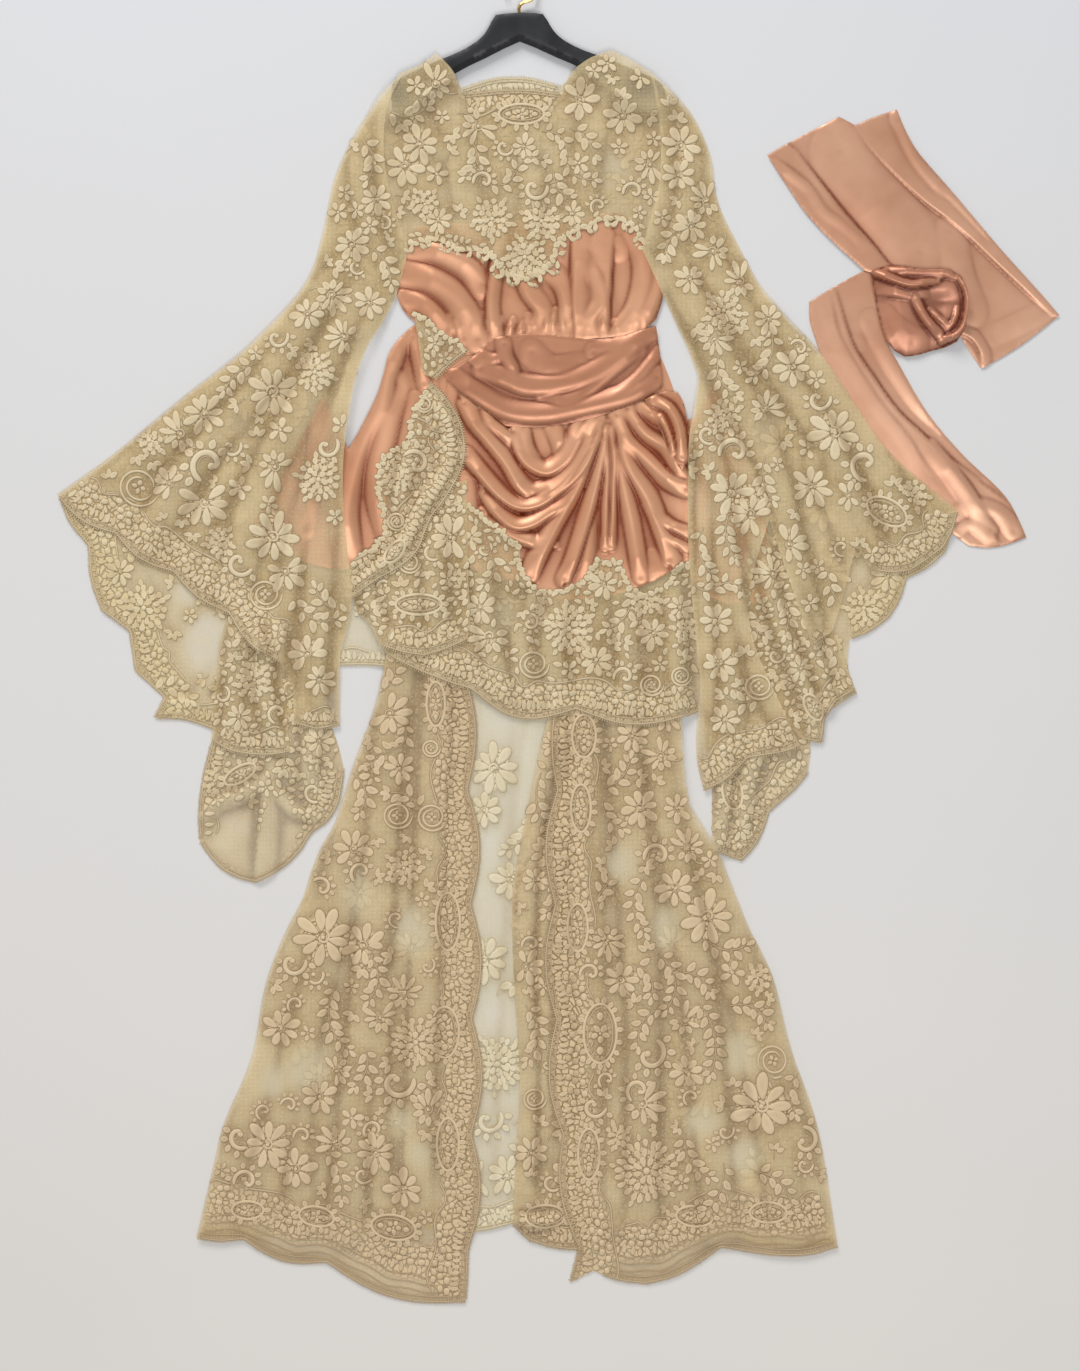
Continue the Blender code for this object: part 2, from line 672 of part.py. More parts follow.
def edge_points(edge, step, way):
    """One edge of an outline without its last point, bulged out where it is scalloped."""
    if not edge.pitch:
        return between(edge.points, step)[:-1]
    line = between(edge.points, min(step, edge.pitch / 4))
    length = sum((b - a).length for a, b in zip(line, line[1:]))
    scallops = max(1, round(length / edge.pitch))
    per_scallop = max(3, round(length / scallops / step) + 1)
    line = between(edge.points, length / (scallops * per_scallop))
    last = len(line) - 1
    points = []
    for i, point in enumerate(line[:-1]):
        tangent = (line[min(i + 1, last)] - line[max(i - 1, 0)]).normalized()
        outward = Vector((tangent.y, -tangent.x)) * way
        bulge = edge.depth * abs(math.sin(math.pi * i * scallops / last))
        points.append(point + outward * bulge)
    return points


def outline_of(piece):
    corners = [point for edge in piece.edges for point in edge.points]
    way = turning(corners)
    points = []
    for edge in piece.edges:
        points += edge_points(edge, piece.step, way)
    if piece.inset:
        points = inset(points, piece.inset, way)
    return np.array([tuple(point) for point in points])


def inset(points, amount, way):
    """The outline moved in by a small amount."""
    moved = []
    for i, point in enumerate(points):
        tangent = (points[(i + 1) % len(points)] - points[i - 1]).normalized()
        moved.append(point - Vector((tangent.y, -tangent.x)) * way * amount)
    return moved


def is_inside(points, outline):
    """True for each point that lies inside the closed outline."""
    start = outline
    end = np.roll(outline, -1, axis=0)
    across, down = points[:, :1], points[:, 1:]
    rises = (start[:, 1] > down) != (end[:, 1] > down)
    slope = (end[:, 0] - start[:, 0]) / np.where(
        end[:, 1] == start[:, 1], 1.0, end[:, 1] - start[:, 1]
    )
    hits = rises & (across < start[:, 0] + (down - start[:, 1]) * slope)
    return hits.sum(axis=1) % 2 == 1


def distance_to_line(points, line):
    """Distance from each point to a line of segments."""
    start, end = line[:-1], line[1:]
    run = end - start
    offset = points[:, None, :] - start[None]
    share = (offset * run).sum(-1) / np.maximum((run * run).sum(-1), 1e-9)
    nearest = start + np.clip(share, 0.0, 1.0)[..., None] * run
    return np.sqrt(((points[:, None, :] - nearest) ** 2).sum(-1)).min(axis=1)


def fold_guides(piece):
    """Points along each fold's crest and its two feet, so the mesh can take its shape."""
    guides = []
    for fold in piece.folds:
        line = between(fold.path, piece.step)
        for i, point in enumerate(line):
            tangent = (line[min(i + 1, len(line) - 1)] - line[max(i - 1, 0)]).normalized()
            side = Vector((tangent.y, -tangent.x)) * fold.width / 2
            guides += [point, point + side, point - side]
    return [tuple(point) for point in guides]


def fill_points(piece, outline):
    """Fold guides and then a triangular grid, all kept clear of each other and the edge."""
    closed = np.vstack([outline, outline[:1]])
    low, high = outline.min(axis=0), outline.max(axis=0)
    grid = []
    row_height = piece.step * math.sqrt(3) / 2
    for row in range(int((high[1] - low[1]) / row_height) + 1):
        shift = piece.step / 2 if row % 2 else 0.0
        for column in range(int((high[0] - low[0]) / piece.step) + 1):
            grid.append((low[0] + shift + column * piece.step, low[1] + row * row_height))
    guides = fold_guides(piece)
    wanted = np.array(guides + grid)
    room = np.array([0.45 * piece.step] * len(guides) + [0.8 * piece.step] * len(grid))
    clear = is_inside(wanted, outline) & (distance_to_line(wanted, closed) > 0.45 * piece.step)
    kept = []
    for point, space in zip(wanted[clear], room[clear]):
        if not kept or np.hypot(*(np.array(kept) - point).T).min() > space:
            kept.append(tuple(point))
    return kept


def triangulate(piece):
    """The cloth's points and triangles in the flat."""
    outline = outline_of(piece)
    points = [Vector(point) for point in outline] + [
        Vector(point) for point in fill_points(piece, outline)
    ]
    rim = [(i, (i + 1) % len(outline)) for i in range(len(outline))]
    laid, _, faces, _, _, _ = delaunay_2d_cdt(points, rim, [], 0, 1e-6, True)
    laid = np.array([tuple(point) for point in laid])
    faces = np.array(faces)
    return laid, faces[is_inside(laid[faces].mean(axis=1), outline)]


class Surface:
    """The lowest height at which a new piece may lie, over a grid of small cells."""

    def __init__(self):
        rows = int((LAYOUT_DOWN + LAYOUT_ABOVE) / CELL)
        columns = int(LAYOUT_ACROSS / CELL)
        self.level = np.zeros((rows, columns))

    def cells_under(self, corners):
        """Rows, columns, and centres of the cells that a triangle may touch."""
        low, high = corners.min(axis=0) - CELL, corners.max(axis=0) + CELL
        columns = np.arange(int(low[0] // CELL), int(high[0] // CELL) + 1)
        rows = np.arange(
            int((low[1] + LAYOUT_ABOVE) // CELL), int((high[1] + LAYOUT_ABOVE) // CELL) + 1
        )
        row, column = (part.ravel() for part in np.meshgrid(rows, columns, indexing="ij"))
        centre = np.stack(
            [(column + 0.5) * CELL, (row + 0.5) * CELL - LAYOUT_ABOVE], axis=1
        )
        near = np.ones(len(centre), bool)
        middle = corners.mean(axis=0)
        for start, end in zip(corners, np.roll(corners, -1, axis=0)):
            run = (end - start) / np.hypot(*(end - start))
            normal = np.array([run[1], -run[0]])
            if (middle - start) @ normal > 0:
                normal = -normal
            near &= (centre - start) @ normal < CELL * 0.71
        return row[near], column[near], centre[near]

    def under_point(self, point):
        return self.level[int((point[1] + LAYOUT_ABOVE) // CELL), int(point[0] // CELL)]


def spread_over(corners, heights, centre):
    """Lowest and highest that a triangle gets within the cell round each centre."""
    system = np.column_stack([corners, np.ones(3)])
    slope_across, slope_down, base = np.linalg.solve(system, heights)
    height = centre[:, 0] * slope_across + centre[:, 1] * slope_down + base
    reach = (abs(slope_across) + abs(slope_down)) * CELL / 2
    return (
        np.clip(height - reach, heights.min(), heights.max()),
        np.clip(height + reach, heights.min(), heights.max()),
    )


def neighbour_mean(count, faces, heights):
    total, number = np.zeros(count), np.zeros(count)
    for a, b in ((0, 1), (1, 2), (2, 0)):
        for one, other in ((a, b), (b, a)):
            np.add.at(total, faces[:, one], heights[faces[:, other]])
            np.add.at(number, faces[:, one], 1.0)
    return total / np.maximum(number, 1.0)


def cleared(surface, points, faces, heights):
    """The same heights, raised just enough to clear everything below each triangle."""
    covers = [surface.cells_under(points[face]) for face in faces]
    for attempt in range(CLEARING_PASSES + 1):
        raised = heights.copy()
        for face, (row, column, centre) in zip(faces, covers):
            level = surface.level[row, column]
            lowest, _ = spread_over(points[face], heights[face], centre)
            short = np.where(level > 0.0, level - lowest, 0.0).max()
            if short > 0.0:
                room = np.maximum(level.max() - heights[face], 0.0)
                lift = room if attempt == CLEARING_PASSES else np.minimum(room, short)
                raised[face] = np.maximum(raised[face], heights[face] + lift)
        heights = raised
    return heights


def resting_heights(surface, points, faces):
    """Heights of the underside on what lies below, softened between the steps."""
    start = np.array([surface.under_point(point) for point in points])
    lowest = cleared(surface, points, faces, start)
    heights = lowest
    for _ in range(SOFTENING_PASSES):
        heights = np.maximum(lowest, neighbour_mean(len(points), faces, heights))
    return heights


def fold_height(piece, points):
    """How far the piece's own folds raise each point: soft ridges that fade at their ends."""
    raised = np.zeros(len(points))
    for fold in piece.folds:
        line = np.array([tuple(point) for point in between(fold.path, piece.step)])
        away = distance_to_line(points, line)
        ends = np.minimum(
            np.hypot(*(points - line[0]).T), np.hypot(*(points - line[-1]).T)
        )
        fade = np.clip(0.35 + ends / (2.5 * fold.width), 0.0, 1.0)
        ridge = 0.5 + 0.5 * np.cos(np.pi * np.clip(away / (fold.width / 2), 0.0, 1.0))
        raised = np.maximum(raised, fold.height * ridge * fade)
    return raised


def lay(piece, surface, collection):
    """Lay one piece on the surface and return its object."""
    points, faces = triangulate(piece)
    underside = resting_heights(surface, points, faces)
    raised = fold_height(piece, points)
    if piece.heap:
        closed = outline_of(piece)
        closed = np.vstack([closed, closed[:1]])
        crown = np.clip(distance_to_line(points, closed) / (2.0 * piece.step), 0.0, 1.0)
        topside = underside + CLOTH + (piece.heap + raised) * np.sqrt(crown)
    else:
        underside = cleared(surface, points, faces, underside + raised)
        topside = underside + CLOTH
    for face in faces:
        row, column, centre = surface.cells_under(points[face])
        _, highest = spread_over(points[face], topside[face], centre)
        level = surface.level[row, column]
        surface.level[row, column] = np.maximum(level, highest + GAP)
    return cloth_object(piece, points, faces, underside, topside, collection)


def place(across, down, height):
    """Layout millimetres to metres in the part's frame."""
    return Vector((
        (across - CENTRE_ACROSS) * METRE, (CENTRE_DOWN - down) * METRE, height * METRE,
    ))


def material(name, colour, roughness, metallic=0.0):
    made = bpy.data.materials.new(name)
    made.use_nodes = True
    shader = made.node_tree.nodes["Principled BSDF"]
    shader.inputs["Base Color"].default_value = (*colour, 1.0)
    shader.inputs["Roughness"].default_value = roughness
    shader.inputs["Metallic"].default_value = metallic
    made.diffuse_color = (*colour, 1.0)
    return made


def cloth_object(piece, points, faces, underside, topside, collection):
    """A wall raised from the flat triangles: underside, topside and the rim between."""
    mesh = bmesh.new()
    top = mesh.verts.layers.float.new("top")
    corners = []
    for point, low, high in zip(points, underside, topside):
        vertex = mesh.verts.new(place(*point, low))
        vertex[top] = high * METRE
        corners.append(vertex)
    sheet = [mesh.faces.new([corners[i] for i in face]) for face in faces]
    grown = bmesh.ops.extrude_face_region(mesh, geom=sheet, use_keep_orig=True)
    for item in grown["geom"]:
        if isinstance(item, bmesh.types.BMVert):
            item.co.z = item[top]
    bmesh.ops.recalc_face_normals(mesh, faces=mesh.faces[:])
    data = bpy.data.meshes.new(piece.name)
    mesh.to_mesh(data)
    mesh.free()
    return linked(piece.name, data, material(piece.name, piece.colour, 0.6), collection)


def linked(name, data, finish, collection):
    data.materials.append(finish)
    made = bpy.data.objects.new(name, data)
    collection.objects.link(made)
    return made


def hanger_outline():
    """Half the outline and its mirror about the middle line, tilted as the hanger lies."""
    right = [tuple(point) for point in between(HANGER_HALF, HANGER_STEP)]
    left = [(2 * HANGER_MIDDLE - across, down) for across, down in reversed(right[1:-1])]
    turn = math.radians(HANGER_TILT)
    tilt = np.array([
        [math.cos(turn), -math.sin(turn)],
        [math.sin(turn), math.cos(turn)],
    ])
    middle = np.array([HANGER_MIDDLE, HANGER_TOP])
    return (np.array(right + left) - middle) @ tilt + middle


def hanger(surface, collection):
    """A flat moulded body and its wire hook, lying on the back layers."""
    outline = hanger_outline()
    rows, columns = surface.level.shape
    row, column = (part.ravel() for part in np.meshgrid(
        np.arange(rows), np.arange(columns), indexing="ij"
    ))
    centre = np.stack([(column + 0.5) * CELL, (row + 0.5) * CELL - LAYOUT_ABOVE], axis=1)
    closed = np.vstack([outline, outline[:1]])
    near = is_inside(centre, outline) | (distance_to_line(centre, closed) < CELL)
    under = surface.level[row[near], column[near]].max()
    surface.level[row[near], column[near]] = under + HANGER_THICK + GAP
    middle = under + HANGER_THICK / 2

    body = bpy.data.curves.new("hanger_body", "CURVE")
    body.dimensions = "2D"
    body.fill_mode = "BOTH"
    body.extrude = HANGER_THICK / 2 * METRE
    add_line(body, [place(*point, 0.0) for point in outline], cyclic=True)
    made = linked("hanger_body", body, material("hanger_body", BLACK, 0.35), collection)
    made.location.z = middle * METRE

    hook = bpy.data.curves.new("hanger_hook", "CURVE")
    hook.dimensions = "3D"
    hook.bevel_depth = HOOK_WIRE / 2 * METRE
    hook.bevel_resolution = 2
    hook.use_fill_caps = True
    add_line(hook, [place(*point, middle) for point in hook_line()], cyclic=False)
    linked("hanger_hook", hook, material("hanger_hook", BRASS, 0.3, 1.0), collection)


def hook_line():
    """Up out of the body, aside, and round over the stem in one arc."""
    stem = between(HOOK_STEM, 5.0)
    arc = []
    for i in range(1, HOOK_ARC_POINTS + 1):
        angle = math.radians(HOOK_ARC_DEGREES) * i / HOOK_ARC_POINTS
        arc.append((
            HANGER_MIDDLE + HOOK_RADIUS * math.cos(angle),
            HOOK_CENTRE_DOWN - HOOK_RADIUS * math.sin(angle),
        ))
    return [tuple(point) for point in stem] + arc


def add_line(curve, points, cyclic):
    spline = curve.splines.new("POLY")
    spline.points.add(len(points) - 1)
    for target, point in zip(spline.points, points):
        target.co = (*point, 1.0)
    spline.use_cyclic_u = cyclic


def main():
    for old in list(bpy.data.objects):
        bpy.data.objects.remove(old, do_unlink=True)
    collection = bpy.data.collections.new("laid_maxi_dress")
    bpy.context.scene.collection.children.link(collection)
    surface = Surface()
    for piece in LAYERS_UNDER_HANGER:
        lay(piece, surface, collection)
    hanger(surface, collection)
    for piece in LAYERS_OVER_HANGER:
        lay(piece, surface, collection)


main()
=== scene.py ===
"""Looks of a lace and satin maxi dress laid flat on its hanger, with its loose satin sash.

Cloth is laid piece by piece, in the order in which the real pieces lie. Each piece takes its
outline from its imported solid, rests on what is under it and rises along its own folds. Lace
is an open net with raised pads and cords on it. Layout sizes are in millimetres, across and
down from the top left corner of the layout.
"""

import math
import random
from collections import namedtuple

import bpy
import numpy as np
from mathutils import Vector
from mathutils.geometry import delaunay_2d_cdt
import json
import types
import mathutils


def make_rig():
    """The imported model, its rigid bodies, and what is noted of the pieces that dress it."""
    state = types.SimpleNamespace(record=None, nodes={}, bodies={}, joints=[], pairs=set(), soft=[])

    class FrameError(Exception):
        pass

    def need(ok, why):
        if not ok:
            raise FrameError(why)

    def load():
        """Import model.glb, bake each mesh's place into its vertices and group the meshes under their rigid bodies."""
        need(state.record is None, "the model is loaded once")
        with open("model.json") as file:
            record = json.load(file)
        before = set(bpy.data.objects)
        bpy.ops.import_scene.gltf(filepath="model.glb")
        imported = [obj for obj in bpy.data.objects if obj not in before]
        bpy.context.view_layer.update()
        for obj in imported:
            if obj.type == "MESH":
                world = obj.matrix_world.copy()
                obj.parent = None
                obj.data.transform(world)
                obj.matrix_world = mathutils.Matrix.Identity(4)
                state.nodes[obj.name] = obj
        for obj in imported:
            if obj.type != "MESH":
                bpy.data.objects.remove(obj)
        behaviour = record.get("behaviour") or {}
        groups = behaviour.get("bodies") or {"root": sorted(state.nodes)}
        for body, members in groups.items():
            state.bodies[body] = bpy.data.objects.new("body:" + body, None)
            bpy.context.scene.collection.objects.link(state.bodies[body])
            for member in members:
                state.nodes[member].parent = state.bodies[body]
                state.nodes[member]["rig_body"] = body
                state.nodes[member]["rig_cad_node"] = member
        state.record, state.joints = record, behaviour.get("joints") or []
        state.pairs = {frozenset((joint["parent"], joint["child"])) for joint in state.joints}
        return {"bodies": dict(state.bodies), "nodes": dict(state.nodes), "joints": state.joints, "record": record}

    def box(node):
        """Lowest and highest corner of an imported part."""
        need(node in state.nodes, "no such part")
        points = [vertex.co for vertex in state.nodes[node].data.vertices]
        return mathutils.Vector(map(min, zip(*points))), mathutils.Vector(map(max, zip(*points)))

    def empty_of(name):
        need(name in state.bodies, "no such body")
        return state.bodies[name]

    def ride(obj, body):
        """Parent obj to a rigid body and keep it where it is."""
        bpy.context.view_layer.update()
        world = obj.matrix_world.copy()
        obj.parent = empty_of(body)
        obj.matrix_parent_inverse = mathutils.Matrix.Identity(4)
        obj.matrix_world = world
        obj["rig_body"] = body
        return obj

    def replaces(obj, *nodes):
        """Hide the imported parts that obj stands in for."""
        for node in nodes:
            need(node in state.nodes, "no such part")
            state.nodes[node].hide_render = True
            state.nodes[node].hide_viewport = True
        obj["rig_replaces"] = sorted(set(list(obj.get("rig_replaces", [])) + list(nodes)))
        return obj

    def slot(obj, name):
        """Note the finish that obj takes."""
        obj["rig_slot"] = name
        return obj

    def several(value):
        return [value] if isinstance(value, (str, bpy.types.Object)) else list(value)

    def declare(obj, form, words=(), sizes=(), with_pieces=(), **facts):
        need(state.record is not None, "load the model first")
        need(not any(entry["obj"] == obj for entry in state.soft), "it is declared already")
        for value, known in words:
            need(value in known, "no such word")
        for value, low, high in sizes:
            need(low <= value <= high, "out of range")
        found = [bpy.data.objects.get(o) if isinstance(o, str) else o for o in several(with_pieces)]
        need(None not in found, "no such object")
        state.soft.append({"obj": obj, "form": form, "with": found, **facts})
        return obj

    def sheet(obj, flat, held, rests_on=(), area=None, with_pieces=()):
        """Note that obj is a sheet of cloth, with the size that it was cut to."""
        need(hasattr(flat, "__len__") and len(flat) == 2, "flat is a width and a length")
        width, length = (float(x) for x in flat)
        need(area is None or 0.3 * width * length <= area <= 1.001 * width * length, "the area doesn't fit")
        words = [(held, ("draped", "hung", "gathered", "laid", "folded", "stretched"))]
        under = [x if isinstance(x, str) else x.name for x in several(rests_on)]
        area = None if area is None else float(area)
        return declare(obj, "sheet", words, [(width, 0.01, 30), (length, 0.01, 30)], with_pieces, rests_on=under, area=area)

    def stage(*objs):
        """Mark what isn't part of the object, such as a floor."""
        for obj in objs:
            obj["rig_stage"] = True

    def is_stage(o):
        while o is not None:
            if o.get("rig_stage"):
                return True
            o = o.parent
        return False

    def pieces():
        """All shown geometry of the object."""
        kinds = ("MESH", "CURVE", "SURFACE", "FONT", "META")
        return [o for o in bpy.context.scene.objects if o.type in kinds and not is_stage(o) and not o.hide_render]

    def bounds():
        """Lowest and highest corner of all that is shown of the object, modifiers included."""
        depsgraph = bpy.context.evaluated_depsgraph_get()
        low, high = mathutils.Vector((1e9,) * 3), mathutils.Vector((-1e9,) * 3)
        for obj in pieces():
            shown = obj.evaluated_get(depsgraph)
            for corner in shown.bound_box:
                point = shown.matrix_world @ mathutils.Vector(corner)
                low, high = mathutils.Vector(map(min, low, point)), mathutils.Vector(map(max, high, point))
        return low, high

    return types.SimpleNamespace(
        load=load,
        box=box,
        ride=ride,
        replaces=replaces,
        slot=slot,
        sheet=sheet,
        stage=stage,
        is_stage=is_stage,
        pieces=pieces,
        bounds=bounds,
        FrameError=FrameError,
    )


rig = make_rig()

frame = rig.load()
cad_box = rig.bounds()

# Layout and cloth sizes in millimetres

CENTRE_ACROSS = 698.0
CENTRE_DOWN = 794.02
METRE = 0.001
PHOTO_PIXEL = 1.25
CELL = 2.0
GRID_ACROSS = 40.0
GRID_DOWN = -60.0
LAYER = 1.75
NET_ABOVE = 0.3
SATIN_ABOVE = 0.15
SATIN_THICK = 1.1
# Painted light: how far below the cells round it a place lies when painted crease shade, painted hollow shade and
# painted fold light are full
CREASE_SHADE_DEEP = 0.6
HOLLOW_SHADE_DEEP = 4.4
FOLD_LIGHT_DEEP = 1.5
OUTLINE_STEP = 3.0
SLIVER = 0.1

# Counts, reaches in cells, shares and turns

GRID_COLUMNS = 660
GRID_ROWS = 870
REST_REACH = 6
REST_PASSES = 3
SATIN_EASE = 7
BROAD_REACH = 7
CREASE_REACH = 2
EDGE_REACH = 4
CHORD_ROUNDS = 2
LINE_STEPS = 10
LACE_RISE = 1.5
SATIN_RIM = 0.45
SHARP_CORNER = 22.0
SHARP_RIM = math.radians(80.0)

Fold = namedtuple("Fold", "height left right path")
Cloth = namedtuple(
    "Cloth", "node finish step folds flat area held rests_on wave fullness spread",
    defaults=([], 0.0, 0.0, 1.0),
)


def fold(height, width, *path):
    """A soft ridge that falls away alike on both sides."""
    return Fold(height, width / 2, width / 2, path)


def pleat(height, left, right, *path):
    """A ridge with its own reach on each side, as seen walking along its path."""
    return Fold(height, left, right, path)


def gathers(seed, start, end, number, long, short):
    """Uneven little ridges that run out of a gathered seam."""
    draw = random.Random(seed)
    ridges = []
    for i in range(number):
        share = (i + draw.uniform(0.2, 0.8)) / number
        across = start[0] + (end[0] - start[0]) * share
        down = start[1] + (end[1] - start[1]) * share
        lean = draw.uniform(-7.0, 7.0)
        length = draw.uniform(short, long)
        ridges.append(fold(
            draw.uniform(2.0, 3.6), draw.uniform(7.0, 11.0),
            (across, down), (across + lean * 0.4, down - length * 0.5),
            (across + lean, down - length),
        ))
    return ridges


# Folds of each piece, from the deepest layer up

SASH_LOWER_FOLDS = [
    pleat(2.2, 2.5, 22, (1036, 368), (1047, 417), (1070, 458), (1100, 504), (1134, 546), (1165, 595)),
    pleat(2.6, 2.5, 60, (1043, 364), (1063, 428), (1089, 470), (1119, 512), (1150, 542), (1184, 572),
          (1222, 600)),
    pleat(4.6, 9, 20, (1163, 556), (1192, 590), (1215, 622), (1240, 662)),
    fold(2.2, 30, (1088, 400), (1112, 448), (1148, 500), (1180, 530)),
    fold(3.4, 26, (1196, 640), (1216, 632), (1246, 640), (1268, 664)),
    fold(2.4, 20, (1198, 664), (1214, 656), (1236, 672)),
    fold(1.2, 26, (1030, 440), (1052, 438), (1070, 430)),
]
SASH_UPPER_FOLDS = [
    pleat(3.2, 3, 60, (992, 188), (1025, 231), (1055, 269), (1089, 307), (1112, 334), (1142, 352)),
    pleat(3.2, 3, 16, (966, 198), (1009, 231), (1032, 262), (1062, 284), (1089, 311)),
    pleat(2.6, 40, 3, (1070, 160), (1100, 197), (1150, 246), (1199, 284), (1252, 334), (1316, 394)),
    fold(3.4, 24, (1122, 150), (1146, 200), (1190, 252)),
    fold(3.0, 20, (1168, 224), (1206, 262), (1250, 308)),
    fold(5.0, 80, (1050, 190), (1104, 256), (1150, 316)),
    fold(3.6, 44, (1188, 290), (1196, 340), (1214, 390)),
    pleat(2.4, 12, 3, (1196, 412), (1216, 424), (1226, 440), (1228, 456)),
    fold(1.2, 30, (1240, 420), (1276, 404), (1306, 388)),
]
SASH_KNOT_FOLDS = [
    pleat(9.0, 10, 5, (1086, 340), (1110, 350), (1136, 358), (1158, 355), (1170, 352)),
    pleat(8.0, 5, 12, (1110, 336), (1146, 338), (1180, 338), (1198, 342)),
    pleat(10.0, 5, 6, (1198, 346), (1208, 371), (1206, 401), (1196, 418), (1176, 427)),
    pleat(8.5, 8, 6, (1142, 375), (1149, 390), (1158, 404), (1172, 420)),
    fold(3.6, 9, (1162, 388), (1172, 398), (1182, 406)),
    fold(3.4, 8, (1184, 412), (1192, 400), (1196, 386)),
    pleat(4.5, 22, 6, (1092, 364), (1116, 368), (1140, 372)),
    fold(4.0, 44, (1100, 400), (1118, 418), (1140, 430)),
]
SKIRT_BACK_FOLDS = [
    fold(2.2, 46, (700, 760), (668, 1000), (650, 1250), (640, 1500)),
    fold(1.8, 40, (620, 800), (616, 1050), (604, 1300), (596, 1500)),
]
SLEEVE_LEFT_BACK_FOLDS = [
    fold(2.2, 14, (322, 766), (292, 810), (264, 850), (244, 876)),
    fold(1.8, 22, (196, 886), (240, 880), (300, 884)),
    fold(1.6, 34, (120, 660), (170, 730), (200, 820)),
]
SLEEVE_RIGHT_BACK_FOLDS = [
    fold(2.0, 30, (1090, 690), (1110, 720), (1100, 760)),
    fold(2.0, 30, (1010, 800), (1040, 840), (1050, 870)),
]
SKIRT_LEFT_FOLDS = [
    fold(5.0, 46, (506, 760), (482, 960), (470, 1120), (455, 1300), (430, 1540)),
    fold(4.0, 38, (550, 800), (538, 1050), (530, 1250), (520, 1500)),
    fold(4.0, 50, (470, 930), (420, 1120), (370, 1320), (320, 1520)),
    fold(3.0, 46, (410, 1110), (350, 1260), (300, 1450)),
    fold(3.0, 30, (480, 1220), (470, 1360), (478, 1500)),
    fold(2.6, 34, (520, 720), (500, 800), (470, 900)),
    fold(2.4, 34, (388, 1260), (372, 1400), (376, 1520)),
]
SKIRT_UNDERFOLD_FOLDS = [
    fold(4.6, 26, (692, 900), (664, 1060), (656, 1200), (662, 1340), (656, 1500)),
    fold(5.0, 18, (648, 1524), (676, 1528), (696, 1522)),
    fold(2.6, 20, (684, 1040), (680, 1240), (682, 1440)),
]
SKIRT_RIGHT_FOLDS = [
    fold(5.0, 46, (775, 800), (785, 980), (800, 1200), (802, 1400), (800, 1560)),
    fold(4.2, 44, (805, 860), (845, 1060), (876, 1260), (900, 1540)),
    fold(4.2, 50, (826, 880), (885, 1080), (945, 1290), (990, 1540)),
    fold(3.0, 40, (735, 760), (730, 960), (735, 1180), (742, 1420)),
    fold(2.6, 36, (840, 760), (846, 900), (880, 1040), (930, 1180)),
    fold(2.6, 36, (770, 1240), (768, 1390), (776, 1530)),
    fold(2.4, 40, (940, 1200), (974, 1340), (1010, 1500)),
]
SATIN_SIDE_LEFT_FOLDS = [
    pleat(7.0, 13, 20, (507, 414), (486, 458), (477, 499), (454, 552), (442, 593), (434, 640),
          (440, 700)),
    fold(5.0, 16, (516, 420), (524, 452), (530, 480)),
    pleat(5.5, 18, 12, (492, 480), (480, 528), (468, 582), (472, 629), (482, 664)),
    fold(4.0, 26, (404, 510), (396, 580), (380, 660)),
    fold(4.0, 12, (503, 428), (498, 452), (488, 476)),
    fold(3.0, 22, (520, 500), (508, 560), (506, 620)),
]
SATIN_SIDE_RIGHT_FOLDS = [
    fold(4.0, 22, (866, 500), (878, 600), (880, 720)),
    fold(3.6, 30, (890, 490), (910, 600), (930, 740)),
    fold(3.0, 20, (850, 540), (858, 620), (864, 700)),
]
SATIN_DRAPE_FOLDS = [
    pleat(7.5, 15, 5, (640, 540), (649, 570), (666, 587), (687, 592), (708, 576), (722, 552),
          (733, 528)),
    pleat(8.5, 14, 7, (579, 505), (590, 529), (607, 549), (631, 579), (649, 609), (668, 622)),
    pleat(8.5, 15, 5.5, (664, 622), (690, 614), (711, 594), (726, 570), (740, 541), (747, 522)),
    pleat(9.5, 13, 5.5, (581, 572), (601, 596), (625, 622), (648, 635), (672, 633), (696, 618),
          (717, 600),
          (735, 577), (750, 540)),
    pleat(9.0, 14, 6, (604, 617), (619, 641), (643, 659), (667, 656), (693, 639), (714, 625)),
    pleat(6.5, 13, 7, (608, 646), (636, 668), (666, 680), (686, 684)),
    pleat(8.5, 7, 16, (752, 522), (740, 567), (722, 611), (696, 658), (678, 694), (666, 722)),
    pleat(7.5, 6, 12, (756, 528), (751, 582), (737, 640), (719, 699), (708, 724)),
    fold(6.5, 11, (758, 528), (759, 582), (757, 640), (756, 686)),
    fold(6.0, 10, (764, 528), (767, 582), (766, 640), (764, 684)),
    fold(6.0, 20, (767, 538), (778, 599), (790, 655), (801, 722)),
    pleat(8.0, 14, 8, (771, 522), (785, 582), (808, 623), (826, 670), (836, 700)),
    pleat(9.0, 9, 12, (770, 518), (785, 549), (811, 576), (835, 599), (858, 611)),
    pleat(8.5, 8, 11, (784, 511), (805, 540), (831, 558), (846, 582), (856, 600)),
    pleat(6.5, 8, 10, (794, 505), (820, 520), (840, 530), (850, 552)),
    pleat(6.5, 9, 6, (818, 642), (838, 659), (860, 668)),
    fold(5.0, 12, (806, 632), (832, 668), (858, 686)),
    fold(5.5, 17, (600, 512), (612, 530), (634, 548), (640, 566)),
    fold(5.0, 15, (654, 532), (660, 560), (672, 580)),
    fold(4.5, 20, (690, 532), (700, 556), (702, 574)),
    fold(4.0, 22, (583, 600), (586, 650), (592, 700)),
    fold(3.0, 26, (625, 690), (640, 712), (652, 728)),
    fold(3.5, 18, (740, 640), (734, 690), (728, 724)),
    fold(3.0, 26, (816, 700), (822, 716), (826, 730)),
]
